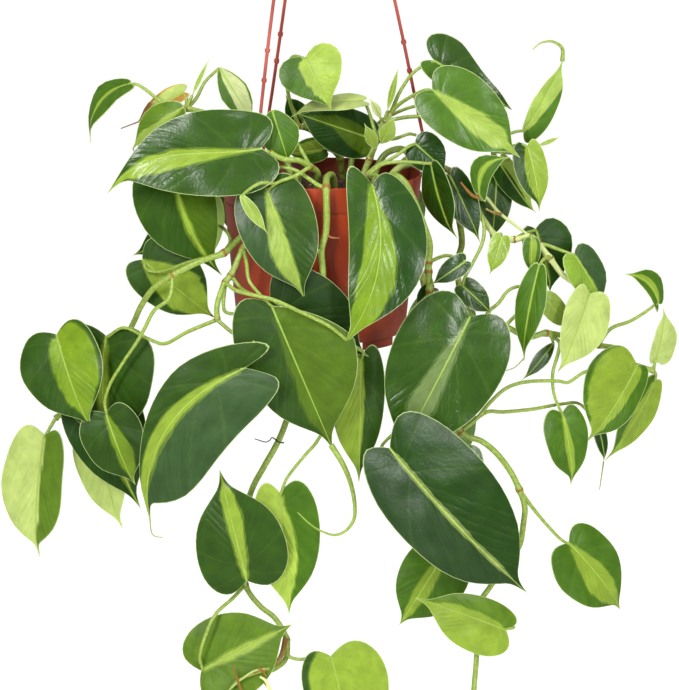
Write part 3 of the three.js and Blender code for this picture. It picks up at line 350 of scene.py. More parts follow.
@dataclass(frozen=True)
class StemFinish:
    """Living stem: smooth green skin with paler streaks, tan where it is old."""

    young: str = "7A9236"
    streak: str = "94A84E"
    old: str = "855A22"
    dead: str = "2A1C12"
    bleached: str = "D3DB98"
    streaks_per_mm: float = 0.5
    pores_per_mm: float = 1.2
    relief_mm: float = 0.15
    roughness: float = 0.38
    gloss: float = 0.4

    def material(self) -> Material:
        """The stems' material; the attribute age turns green skin to tan bark, and pale bleaches it.

        Returns:
            The material.
        """
        s = Shade("green_stem_skin")
        streaks = s.add(Step.RAMP, s.add(Step.NOISE, s.place, self.streaks_per_mm / MM, 3.0), 0.35, 0.7)
        colour = s.add(Step.MIX, streaks, linear(self.young), linear(self.streak))
        pale = s.add(Step.MULTIPLY, s.add(Step.NUMBER, attribute_name="pale"), 0.85)
        colour = s.add(Step.MIX, pale, colour, linear(self.bleached))
        age = s.add(Step.NUMBER, attribute_name="age")
        patch = s.add(Step.MULTIPLY_ADD, s.add(Step.SUBTRACT, streaks, 0.5), 0.3, age)
        colour = s.add(Step.MIX, s.add(Step.RAMP, patch, 0.35, 0.65), colour, linear(self.old))
        colour = s.add(Step.MIX, s.add(Step.RAMP, age, 1.2, 1.8), colour, linear(self.dead))
        pores = s.add(Step.NOISE, s.place, self.pores_per_mm / MM, 3.0)
        relief = s.add(Step.BUMP, pores, self.relief_mm * MM, 0.5)
        return s.close(colour, self.roughness, relief, self.gloss)


@dataclass(frozen=True)
class PlasticFinish:
    """Injection-moulded polypropylene: evenly dyed, with a satin skin and faint flow marks."""

    name: str
    colour: str
    shade: str
    roughness: float = 0.42
    # Painted shade on the inside of the wall: how strong it is, and its colour
    inner_shade: float = 0.0
    inner_shade_colour: str = "2A150C"
    scuff: str = "D9B7A6"
    flow_per_mm: float = 0.03
    scuffs_per_mm: float = 0.35
    pores_per_mm: float = 1.25
    relief_mm: float = 0.04
    gloss: float = 0.3

    def material(self) -> Material:
        """The plastic's material, with a painted shade that darkens the wall's inside.

        Returns:
            The material.
        """
        s = Shade(self.name)
        flow = s.add(Step.RAMP, s.add(Step.NOISE, s.place, self.flow_per_mm / MM, 2.0), 0.3, 0.7)
        colour = s.add(Step.MIX, flow, linear(self.shade), linear(self.colour))
        scuffs = s.add(Step.RAMP, s.add(Step.NOISE, s.place, self.scuffs_per_mm / MM, 4.0), 0.62, 0.75)
        colour = s.add(Step.MIX, s.add(Step.MULTIPLY, scuffs, 0.05), colour, linear(self.scuff))
        # The wall's inside faces the upright axis, and there a painted shade darkens the plastic
        level = s.add(Step.VECTOR_PRODUCT, s.add(Step.SKIN_PLACE), (1, 1, 0))
        facing = s.add(Step.DOT, s.add(Step.SKIN_NORMAL), level)
        inside = s.add(Step.MULTIPLY, s.add(Step.RAMP, facing, -0.01, -0.04), self.inner_shade)
        colour = s.add(Step.MIX, inside, colour, linear(self.inner_shade_colour))
        rough = s.add(Step.MULTIPLY_ADD, scuffs, 0.2, self.roughness)
        pores = s.add(Step.NOISE, s.place, self.pores_per_mm / MM, 2.0)
        return s.close(colour, rough, s.add(Step.BUMP, pores, self.relief_mm * MM, 0.5), self.gloss)


@dataclass(frozen=True)
class SoilFinish:
    """Peat potting mix: dark damp crumbs with brown fibres."""

    damp: str = "1D140E"
    crumb: str = "4A3524"
    fibre: str = "7A5836"
    crumbs_per_mm: float = 0.9
    fibres_per_mm: float = 2.4
    lumps_per_mm: float = 0.7
    relief_mm: float = 1.4
    roughness: float = 0.92

    def material(self) -> Material:
        """The soil's material.

        Returns:
            The material.
        """
        s = Shade("peat_potting_mix")
        crumbs = s.add(Step.RAMP, s.add(Step.NOISE, s.place, self.crumbs_per_mm / MM, 4.0), 0.35, 0.7)
        colour = s.add(Step.MIX, crumbs, linear(self.damp), linear(self.crumb))
        fibres = s.add(Step.RAMP, s.add(Step.NOISE, s.place, self.fibres_per_mm / MM, 2.0), 0.62, 0.7)
        colour = s.add(Step.MIX, fibres, colour, linear(self.fibre))
        lumps = s.add(Step.NOISE, s.place, self.lumps_per_mm / MM, 5.0)
        return s.close(colour, self.roughness, s.add(Step.BUMP, lumps, self.relief_mm * MM, 1.0))


@dataclass(frozen=True)
class GrainFinish:
    """Loose grains in the mix: expanded perlite or shredded bark."""

    name: str
    light: str
    dark: str
    patches_per_mm: float = 0.8
    pores_per_mm: float = 2.0
    relief_mm: float = 0.3
    roughness: float = 0.85

    def material(self) -> Material:
        """The grains' material.

        Returns:
            The material.
        """
        s = Shade(self.name)
        patches = s.add(Step.RAMP, s.add(Step.NOISE, s.place, self.patches_per_mm / MM, 3.0), 0.3, 0.7)
        colour = s.add(Step.MIX, patches, linear(self.dark), linear(self.light))
        pores = s.add(Step.NOISE, s.place, self.pores_per_mm / MM, 3.0)
        return s.close(colour, self.roughness, s.add(Step.BUMP, pores, self.relief_mm * MM, 0.8))


class Finishes:
    """Every material, made once."""

    def __init__(self) -> None:
        """Makes the materials."""
        self.leaf = LeafFinish().material()
        self.stem = StemFinish().material()
        self.pot = PlasticFinish("terracotta_polypropylene", "A03A18", "8A2E12", inner_shade=0.55).material()
        self.hanger = PlasticFinish("red_hanger_polypropylene", "A8493A", "8C372C", 0.38).material()
        self.soil = SoilFinish().material()
        self.bark = GrainFinish("shredded_bark", "7A5230", "3B2616").material()
        self.perlite = GrainFinish("expanded_perlite", "B9B3A6", "8A8478").material()


class Tone(Enum):
    """The greens of the leaves, as they were read."""

    DEEP = "264E07"
    SLATE = "2F4E22"
    MOSS = "4E6E06"
    BLACK = "203F08"
    FOREST = "34590A"
    LEAF = "4F7A10"
    FRESH = "668A19"
    GREY = "3F6030"
    OLIVE = "5C7C08"
    GRASS = "83A41C"
    LIME = "9DBA38"
    BRIGHT = "9CC03C"
    SAGE = "7B9255"
    SOFT = "A9C352"
    YELLOW = "B4D04F"
    PALE = "CBDD7E"
    CREAM = "DDE6A2"
    STRAW = "D29A48"


Span = tuple[float, float]
PLAIN: tuple[Span, ...] = ((9.0, 9.0),)  # no lime at all
WHOLE: tuple[Span, ...] = ((-3.0, 3.0),)  # lime all over


@dataclass
class Leaf:
    """One leaf, read from the front, in millimetres."""

    number: int
    base: Place
    tip: Place
    half: tuple[float, float]  # half widths to either side of the midrib
    petiole: Sequence[Place]
    dark: Tone
    stripe: tuple[Span, ...] = PLAIN  # the lime area's sides, -1 to 1, at even steps from base to tip
    lime: Tone = Tone.LIME
    tail: Sequence[Place] = ()
    roll: float = 0.0  # degrees about the midrib
    sweep: float = 0.0  # how far the midrib bows to one side, as a share of its length
    hook: float = 0.0  # how far its tip end does
    oval: tuple[float, float] = (0.85, 0.85)
    lobes: tuple[float, float] = (1.0, 1.0)
    dry: float = 0.0  # how much of the tip has dried
    beside: Tone | None = None  # the dark tone of the second half, where it differs
    tail_radius: float = 0.6
    dull: float = 0.0  # how far its wax has weathered


@dataclass
class Side:
    """A side shoot, sheath or root of a stem: from green through brown at an age of 1 to black at 2."""

    points: Sequence[Place]
    radii: tuple[float, float] = (1.55, 1.1)
    ages: tuple[float, float] = (0.1, 0.1)
    pale: float = 0.0  # how far its skin is bleached


@dataclass
class Vine:
    """One leafy stem with what it carries."""

    name: str
    root: tuple[float, float]
    stem: Sequence[Place]
    leaves: Sequence[Leaf]
    sides: Sequence[Side] = ()
    pale: float = 0.0  # how far its end is bleached


# The leafy stems, as they were read from the front; the last four are behind the pot
VINE_FRONT_TRAILING = Vine(
    "vine_front_trailing", (10, 34),
    ((8, -2, 50), (4, -4, 66), (3.5, -11, 79), (3.5, -43, 82), (0, -58, 83), (1, -79, 82), (-6, -120, 80),
     (-18, -160, 77), (-31, -198, 74), (-43, -220, 73), (-52, -237, 71), (-60, -270, 69), (-57, -308, 70),
     (-46, -324, 70), (-35, -333, 71), (-26, -349, 72), (-27, -364, 72), (-35, -371, 72), (-50, -376, 72),
     (-56, -392, 72)),
    (
        Leaf(50, (-56, -305, 92), (-76, -223.5, 96), (32, 36), ((-57, -308, 70), (-57, -307, 80)),
            Tone.FOREST, ((-0.06, 0.06), (-0.12, 0.2), (-0.4, 0.55)), dull=0.3),
        Leaf(51, (-31, -239.5, 84), (-24, -332, 82), (28, 22), ((-6, -120, 80), (2, -160, 83), (2, -190, 83),
            (-4, -202, 84), (-12, -211, 84), (-26, -229, 84)),
            Tone.LEAF, ((-0.1, 1.2), (-0.35, 1.2), (-0.4, 1.2)), lime=Tone.YELLOW, dull=0.8),
        Leaf(52, (-90, -372.5, 91), (-22, -338, 86), (33, 33), ((-57, -308, 70), (-66, -318, 82),
            (-79, -330, 92), (-86, -344, 98), (-91, -362, 98)),
            Tone.FRESH, ((-0.07, 0.07), (-0.1, 0.1), (-0.1, 0.1)), lime=Tone.SOFT, dull=0.6),
        Leaf(53, (7, -361.5, 84), (27, -435, 82), (38, 27), ((-26, -349, 72), (-25, -361, 77),
            (-16, -364, 80), (-5, -362, 83)),
            Tone.FOREST, ((-1.2, 0.8), (-1.2, 0.75), (-1.2, 0.9)), dull=0.6),
        Leaf(8, (-112, 15, 50), (-75, -77, 66), (28, 34), ((3.5, -11, 79), (-1, -10, 79), (-20, 2, 75),
            (-34, 4.5, 71), (-60, 6, 60), (-95, 14, 48)),
            Tone.MOSS, ((-0.03, 0.03), (-0.05, 0.06), (-0.1, 0.2)), sweep=0.08, beside=Tone.FOREST, dull=1),
    ),
    (
        Side(((0, -58, 83), (-8, -60, 86), (-13, -66, 88)), radii=(1.6, 1.2), ages=(0.3, 0.5)),
        Side(((3.5, -43, 82), (6, -48, 84), (13.5, -49, 86)), radii=(1.0, 0.5), ages=(0.9, 0.9), pale=0.4),
        Side(((-50, -376, 72), (-44, -380, 74), (-38, -387, 73)), radii=(1.4, 0.8), ages=(0.9, 0.9)),
        Side(((-50, -376, 72), (-62, -380, 74), (-66, -386, 73)), radii=(1.4, 0.8), ages=(0.5, 0.9)),
        Side(((-28, -202, 76), (-32, -201.5, 77), (-34.5, -199.5, 77), (-37, -198, 77), (-38.5, -200, 77),
            (-41.5, -201.5, 76), (-45.5, -200.5, 76), (-50, -199, 75)), radii=(0.55, 0.35), ages=(2, 2)),
        Side(((-27, -349, 75), (-29, -358, 84), (-33, -366, 92), (-40, -371, 97), (-52, -375, 100),
            (-64, -381, 100), (-69, -387, 100)), radii=(2.2, 0.7), ages=(0.75, 0.3)),
        Side(((-40, -371, 97), (-50, -372.5, 101), (-60, -379, 101), (-68, -386, 101)), radii=(0.9, 0.6),
            ages=(0.25, 0.25), pale=0.35),
        Side(((-66.5, -368.5, 102), (-63.5, -377, 102), (-60, -387, 102)), radii=(0.5, 1.0), ages=(0.8, 1)),
        Side(((-47, -370.5, 102), (-43.5, -373, 102), (-41, -377, 101)), radii=(1.1, 0.6), ages=(0.9, 0.6)),
        Side(((-46, -377, 102), (-42, -379.5, 102), (-38.5, -387, 101)), radii=(0.8, 1.6), ages=(0.1, 0),
            pale=0.9),
    ),
)

VINE_LEFT_UPPER = Vine(
    "vine_left_upper", (-30, 28),
    ((-28, -2, 58), (-30, -9, 72), (-34, -16, 77), (-50, -38, 70), (-62, -50, 72), (-73, -60, 80),
     (-90, -66, 84), (-110, -76, 86), (-125, -86, 82), (-135, -100, 74), (-140, -111, 66), (-150, -130, 58),
     (-165, -150, 54), (-180, -168, 58), (-191, -177, 60), (-199, -184, 66)),
    (
        Leaf(10, (-134, -65, 68), (-80, -109, 62), (28, 22), ((-73, -60, 80), (-99, -67, 80),
            (-121, -74, 76), (-131, -72, 72)),
            Tone.FOREST, ((-0.1, 0.2), (-0.6, 0.6), (-1.2, 1.2)), dry=0.06, dull=0.8),
        Leaf(9, (-86, -40, 46), (-142, -62, 50), (18, 18), ((-73, -60, 80), (-68, -50, 64), (-76, -40, 50)),
            Tone.DEEP, dull=1),
        Leaf(13, (-161, -180, 100), (-140, -234, 96), (22, 24), ((-111, -76, 86), (-114, -94, 92),
            (-125, -103, 94), (-132, -116, 95), (-137, -125, 95), (-149, -143, 98), (-158, -158, 101),
            (-162, -171, 102)),
            Tone.FOREST, ((-0.1, 0.1), (-0.45, 0.12), (-0.85, 0.15)), lime=Tone.GRASS, dull=0.6),
        Leaf(14, (-172, -150, 68), (-137, -252, 73), (30, 31), ((-165, -150, 54), (-171, -147, 62)),
            Tone.FOREST, ((-0.02, 0.02), (-0.04, 0.06), (-0.2, 0.25)), beside=Tone.DEEP, dull=0.8),
        Leaf(16, (-168, -190, 46), (-150, -267, 48), (16, 21), ((-165, -150, 54), (-163, -165, 48),
            (-167, -180, 45)),
            Tone.LEAF, WHOLE, lime=Tone.PALE, dull=0.8),
        Leaf(17, (-207, -196, 74), (-213.5, -288, 76), (19, 26.7), ((-199, -184, 66),),
            Tone.FRESH, ((-0.15, 1.2), (-0.1, 1.2), (-0.1, 1.2)), lime=Tone.PALE, oval=(1.4, 1.4), dull=0.6),
        Leaf(11, (-198, -121, 100), (-173, -192, 106), (28, 33), ((-150, -130, 58), (-175, -132, 60),
            (-197, -126, 72), (-200, -122, 88)),
            Tone.FOREST, ((-0.85, 0.2), (-0.85, 0.3), (-0.9, 0.2)), lime=Tone.GRASS, dull=0.4),
    ),
)

VINE_LEFT_LOWER = Vine(
    "vine_left_lower", (-18, 44),
    ((-18, -2, 62), (-21, -8, 76), (-27, -18, 81), (-44, -38, 79), (-58, -56, 83), (-68, -77, 88),
     (-72, -82, 90), (-78, -99, 94), (-78, -110, 95)),
    (
        Leaf(12, (-161, -122, 80), (-162, -210, 86), (38, 37), ((-78, -110, 94), (-100, -119, 92),
            (-118, -128, 90), (-130, -124, 88), (-148, -116, 84)),
            Tone.FOREST, ((-0.05, 0.05), (-0.1, 0.1), (-0.05, 0.05)), dull=0.9),
        Leaf(15, (-57, -146, 119), (-130, -264, 110), (43, 27), ((-78, -110, 95), (-66, -120, 102),
            (-50, -128, 111)),
            Tone.GREY, ((-0.06, 0.08), (-0.05, 0.2), (-0.08, 0.5), (-0.05, 1.2)), sweep=0.17,
            oval=(1.5, -0.3), beside=Tone.FOREST, dull=0.6, tail=((-126, -271, 110), (-119, -273, 110))),
        Leaf(18, (-38, -98, 104), (9, -208, 100), (48, 38), ((-58, -57, 83), (-56, -68, 92), (-54, -81, 99),
            (-47, -90, 103)),
            Tone.FOREST, ((-1.2, 0.05), (-1.2, 0.15), (-1.2, 0.6)), lime=Tone.OLIVE, lobes=(0.1, 1),
            tail_radius=2.3, dull=0.5, tail=((16, -218, 99), (22, -233, 98), (25, -250, 98), (24, -260, 99),
            (18, -268, 100), (10, -271, 101), (2, -269, 102), (-7, -264, 103), (-18, -254, 103))),
        Leaf(20, (30, -137, 78), (28, -233, 84), (18, 22), ((-72, -82, 90), (-64, -88, 102), (-49, -92, 110),
            (-36, -95, 113), (-16, -104, 114), (6, -115, 112), (22, -128, 102), (31, -134, 88)),
            Tone.FOREST, ((-0.1, 1.2), (-0.12, 0.9), (-0.1, 1.2)), dull=0.4),
        Leaf(21, (-38, -95, 90), (36, -138, 84), (35, 30), ((-68, -77, 88), (-58, -88, 90), (-46, -93, 91)),
            Tone.BLACK, dull=0.8),
    ),
    (
        Side(((-72, -82, 90), (-72, -104, 94), (-60, -105, 96), (-50, -104, 98))),
    ),
)

SHOOT_LEFT_TOP = Vine(
    "shoot_left_top", (-40, 0),
    ((-46, 8, 18), (-58, 26, 36), (-72, 38, 48), (-85, 44, 56), (-101, 48, 61), (-104, 48.5, 62)),
    (
        Leaf(1, (-143, 66.5, 64), (-175, 23, 70), (15, 14), ((-101, 48, 61), (-118, 52, 62), (-130, 61, 63),
            (-138, 66, 64)),
            Tone.LEAF, ((-0.1, 0.1), (-0.15, 0.15)), roll=40, sweep=0.25, lobes=(0.6, 0.6), dull=0.3),
        Leaf(2, (-103, 49, 68), (-143, 18, 72), (15, 16), ((-101, 48, 61),),
            Tone.FRESH, ((-0.3, 0.2), (-0.2, 0.1), (-0.9, 0.9)), lime=Tone.SOFT, roll=20, lobes=(0.4, 0.4),
            dull=0.5, tail=((-140, 14, 71),)),
        Leaf(3, (-103, 60, 54), (-139, 38, 52), (8, 10), ((-101, 48, 61), (-101, 55, 57)),
            Tone.STRAW, ((-0.2, 0.9), (-0.1, 0.5)), lime=Tone.PALE, roll=30, dry=0.45, dull=0.8,
            tail=((-150, 33, 52),)),
        Leaf(4, (-97, 57, 60), (-83, 87, 60), (1.8, 1.8), ((-101, 48, 61),),
            Tone.FRESH, WHOLE, lime=Tone.SOFT, lobes=(0, 0)),
        Leaf(5, (-77, 79, 46), (-50, 36, 50), (11, 11), ((-101, 48, 61), (-94, 55, 54), (-87, 68, 49)),
            Tone.LEAF, ((-0.85, 0.3), (-0.8, 0.35), (-0.9, 0.9)), lime=Tone.CREAM, oval=(1.2, 1.2),
            lobes=(0.2, 0.2), dull=0.5),
    ),
)

SHOOT_FRONT_LEFT = Vine(
    "shoot_front_left", (-4, 50),
    ((-3, 0, 60), (-8, 4, 66), (-17, 9, 70.5), (-28, 10, 74), (-39, 15, 75)),
    (
        Leaf(6, (-45.6, 18, 78), (-160.5, -14.6, 104), (34, 33), ((-39, 15, 75),),
            Tone.FOREST, ((-0.03, 0.04), (-0.1, 0.06), (-0.28, 0.12), (-0.5, 0.15), (-1.2, 0.5)), roll=8,
            sweep=0.01, hook=0.1, oval=(0.9, 0.4), beside=Tone.FOREST),
        Leaf(7, (-37, 47, 60), (-24, 6, 66), (15, 15), ((-8, 4, 66), (-19, 24, 60), (-27, 41, 59)),
            Tone.LEAF, oval=(1.2, 1.2), lobes=(0.3, 0.3), dull=0.6),
        # Leaf 22's grey-green second half is painted sheen over its dark green
        Leaf(22, (-41, -12, 81), (-12, -95.5, 94), (28, 30), ((-8, 4, 66), (-10, 3.5, 78), (-19, -2, 84),
            (-34, -8, 83)),
            Tone.FOREST, ((-0.05, 0.12), (-0.06, 0.4), (-0.1, 0.8)), lime=Tone.SOFT, beside=Tone.GREY,
            dull=0.3),
        Leaf(23, (-60, -17, 96), (-40, -46, 100), (5, 5), ((-34, -8, 82), (-46, -8, 91), (-56, -14, 95)),
            Tone.LEAF, WHOLE, lime=Tone.SOFT, lobes=(0.4, 0.4)),
    ),
)

SHOOT_FRONT_RIGHT = Vine(
    "shoot_front_right", (30, 36),
    ((31, -4, 48), (34, -3, 60)),
    (
        Leaf(24, (38, -9, 86), (14, -132, 110), (35, 24), ((34, -3, 60), (41, -2, 72), (44, -5, 80)),
            Tone.DEEP, ((-0.05, 0.3), (-0.25, 0.5), (-0.4, 0.55), (-0.7, 0.8), (-1.2, 1.2)), lime=Tone.GRASS,
            sweep=-0.13, beside=Tone.FOREST),
        Leaf(25, (82, 7.6, 48), (99.6, -50, 58), (16, 16), ((34, -3, 60), (45, 6, 58), (58, 8, 55),
            (71, 7.6, 52)),
            Tone.DEEP, ((-0.05, 0.05), (-0.05, 0.05)), roll=50, lobes=(0.5, 0.5)),
        Leaf(63, (70, 22, 27), (94, 0, 30), (15, 14), ((31, -4, 48), (40, 4, 46), (55, 12, 38),
            (66, 20, 30)),
            Tone.DEEP, dry=0.14),
    ),
)

VINE_CROWN_RIGHT = Vine(
    "vine_crown_right", (34, 14),
    ((32, -1, 12), (36, 10, 12), (42, 25, 12), (47, 38, 12), (52, 45, 12)),
    (
        Leaf(27, (83, 62, 36), (149, 11.5, 56), (28, 24), ((52, 45, 12), (58, 51, 16), (71, 59, 26),
            (79, 62, 33)),
            Tone.LEAF, ((-0.08, 0.08), (-0.3, 0.35), (-0.7, 0.75)), lime=Tone.SOFT, dull=0.2),
        Leaf(28, (84, 84, 18), (143, 47, 32), (22, 14), ((52, 45, 12), (59, 61, 13), (69, 75, 15),
            (80, 82, 17)),
            Tone.FOREST, ((-0.04, 0.04), (-0.05, 0.05)), oval=(-0.6, 0.5), dry=0.05, beside=Tone.LEAF),
        Leaf(55, (30.5, 53.6, 4), (-23, 44, 14), (12, 12), ((42, 25, 12), (39, 34, 8), (36, 44, 5),
            (33, 51, 4)),
            Tone.LEAF, WHOLE, lime=Tone.PALE, roll=60),
        Leaf(56, (36, 26, -14), (-20, 45, -20), (20, 17), ((36, 10, 12), (40, 22, 0), (39, 26, -10)),
            Tone.DEEP, ((-0.8, 0.3), (-0.06, 0.5), (-0.05, 0.05)), lime=Tone.OLIVE, dull=0.8),
        Leaf(59, (45, 22, 20), (55, 42, 24), (6, 7), ((42, 25, 12),),
            Tone.FRESH, WHOLE, lime=Tone.SOFT, lobes=(0.2, 0.2)),
        Leaf(61, (41, 18, 20), (32, 37, 26), (5, 5), ((36, 10, 12),),
            Tone.FRESH, WHOLE, lime=Tone.SOFT, lobes=(0.2, 0.2)),
        Leaf(60, (49, 45, 16), (58, 80.6, 16), (2.8, 2.8), ((47, 38, 12),),
            Tone.FRESH, WHOLE, lime=Tone.SOFT, lobes=(0, 0), dull=0.5),
        Leaf(62, (44, 41, 18), (36, 56, 20), (3, 4), ((47, 38, 12),),
            Tone.LEAF, WHOLE, lime=Tone.CREAM, lobes=(0.2, 0.2)),
        Leaf(29, (151, 30, 30), (182, 85, 34), (7, 13), ((128, 16, 28), (137, 27, 29), (147, 31, 30)),
            Tone.LEAF, ((-1.2, 0.1), (-1.2, 0.6), (-1.2, 1.2)), lime=Tone.SOFT, lobes=(0.3, 1),
            tail_radius=1.7, dull=0.4, tail=((180, 93, 35), (173, 98, 36), (164, 97, 36), (158, 92, 36))),
        Leaf(30, (162, 20, 32), (179, 27, 34), (2, 2), ((128, 16, 28), (148, 15, 30)),
            Tone.FRESH, WHOLE, lime=Tone.SOFT, lobes=(0, 0)),
        Leaf(31, (154, 20, 40), (164, -29, 48), (11, 14), ((128, 16, 28), (140, 19, 34), (150, 21, 39)),
            Tone.FOREST, ((-1.2, 0.3), (-1.2, 0.5), (-1.2, 0.4)), dull=0.4),
        Leaf(32, (133, 8, 26), (160, -31, 34), (10, 10), ((128, 16, 28),),
            Tone.DEEP, ((-1.2, -0.2), (-1.2, -0.2)), lime=Tone.SOFT, roll=35),
        Leaf(34, (131, 2, 16), (127, -54, 22), (13, 13), ((128, 16, 28), (129, 8, 18)),
            Tone.FOREST, dull=0.5),
    ),
    (
        Side(((47, 38, 12), (60, 41, 13), (72, 42, 15), (95, 40, 20), (115, 27, 25), (128, 16, 28))),
        Side(((42, 25, 12), (55, 25.5, 14), (66, 29, 15), (71, 28, 15))),
    ),
    pale=0.3,
)

VINE_RIGHT_UPPER = Vine(
    "vine_right_upper", (47, 22),
    ((56, 2, 18), (70, 7, 15), (84, 6, 16), (98, 0, 20), (105, -8, 26), (110, -15, 30), (115, -24, 34),
     (121, -35, 36), (132, -48, 40), (144, -50, 42), (156, -48, 44), (162, -53, 46), (171, -64, 48),
     (180, -76, 50), (190, -83, 52), (199, -87, 54)),
    (
        Leaf(26, (96, -2, 32), (119, -52, 44), (12, 13), ((98, 0, 20), (98, 0, 26)),
            Tone.DEEP, dull=0.1),
        Leaf(33, (118, -14, 50), (143, 11, 58), (10, 9), ((110, -15, 30), (120, -20, 40), (119, -18, 47)),
            Tone.LEAF, ((-0.2, 0.2), (-0.25, 0.3)), sweep=-0.3, dull=0.4),
        Leaf(38, (135, -48, 52), (126, -76.5, 56), (8, 8), ((132, -48, 40), (134, -46, 47)),
            Tone.FRESH, WHOLE),
        Leaf(35, (160, -42, 34), (172, -90, 36), (24, 13), ((144, -50, 42), (153, -45, 37)),
            Tone.DEEP, ((-0.04, 0.04), (-0.06, 0.06)), dull=0.6),
        Leaf(36, (157, -50, 50), (156, -76, 51), (7, 7), ((156, -48, 44), (157, -47, 48)),
            Tone.LEAF, ((-0.6, 0.2), (-0.5, 0.4)), dull=0.5),
        Leaf(37, (163, -69, 66), (150, -141, 70), (12, 12), ((171, -64, 48), (169, -63, 58), (165, -66, 64)),
            Tone.LEAF, ((-0.06, 0.06), (-0.05, 0.05)), roll=45, lobes=(0.5, 0.5), dull=0.7,
            tail=((144, -146, 70), (138, -148, 70))),
        Leaf(39, (189, -61, 54), (211, -100.5, 58), (15, 14), ((162, -53, 46), (168, -54, 47),
            (179, -58, 50)),
            Tone.GREY, ((-0.05, 1.2), (-0.05, 1.2), (-0.2, 1.2)), lime=Tone.BRIGHT, dull=0.5),
        Leaf(41, (200, -91, 64), (178, -150, 68), (21, 14), ((199, -87, 54), (200, -88, 59)),
            Tone.LEAF, ((-1.2, 1.2), (-1, 1.2), (-1.2, 1.2)), lime=Tone.PALE, dull=0.7),
        Leaf(70, (105, -84, 54), (128, -106, 58), (10, 10), ((115, -24, 34), (121, -36, 42), (121, -50, 46),
            (113, -68, 50), (107, -79, 53)),
            Tone.FOREST),
    ),
    (
        Side(((110, -15, 30), (121, -17, 32), (132, -29, 34), (143, -38, 38), (154, -46, 43)),
            radii=(1.5, 1.0), ages=(0.45, 0.2), pale=0.7),
        Side(((119, -19, 45), (113, -17, 47), (108, -12, 47.5), (104, -7, 46.5)), radii=(1.7, 0.6),
            ages=(0.65, 0.8), pale=0.3),
        Side(((134, -31, 36), (129, -30, 42), (123, -27, 44)), radii=(1.3, 0.7), ages=(0.7, 0.55), pale=0.4),
    ),
    pale=1,
)

VINE_RIGHT_LOWER = Vine(
    "vine_right_lower", (54, -14),
    ((64, 10, -16), (78, 8, -16), (89, 0, -13), (98, -18, -6), (103, -36, 4), (105, -53, 14), (102, -66, 22),
     (104, -90, 34), (112, -108, 44), (120, -115, 50), (137, -115, 54), (154, -123, 55), (168, -120, 55),
     (188, -124, 53), (207, -129, 53), (222, -132, 54), (233, -143, 54), (239, -145, 54), (248, -148, 54)),
    (
        Leaf(42, (167, -94, 51), (186, -117, 50), (9, 9), ((120, -115, 50), (125, -104, 49), (132, -98, 49),
            (140, -88, 49), (149, -85, 49), (160, -89, 50)),
            Tone.GREY, WHOLE, lime=Tone.SOFT),
        Leaf(43, (180, -180, 68), (188, -234, 70), (16, 17), ((168, -120, 55), (178, -127, 57),
            (177, -135, 59), (173, -150, 63), (174, -166, 66)),
            Tone.LEAF, ((-0.1, 0.1), (-0.2, 0.15), (-0.3, 0.2)), dull=0.5),
        Leaf(71, (174, -127, 47), (150, -156, 50), (6, 6), ((168, -120, 55), (172, -123, 50)),
            Tone.GREY, lime=Tone.SOFT, lobes=(0.2, 0.2)),
        Leaf(72, (250, -155, 50), (214, -216, 46), (12, 12), ((248, -148, 54), (250, -151, 52)),
            Tone.LEAF, ((-1.2, 0.35), (-1.2, 0.3), (-1.2, 0.3)), lobes=(0.6, 0.6), dull=0.5),
        Leaf(74, (252, -98, 52), (227, -76, 52), (6, 11), ((207, -129, 53), (216, -117, 53), (231, -111, 52),
            (244, -103, 52)),
            Tone.LEAF, ((-0.2, 0.3), (-0.3, 0.4)), sweep=0.15),
        Leaf(75, (250, -140, 52), (257, -102, 54), (6, 12.1), ((248, -148, 54),),
            Tone.LEAF, WHOLE, lime=Tone.PALE),
    ),
    (
        Side(((137, -115, 54), (146, -106, 50), (157, -96, 48))),
    ),
)

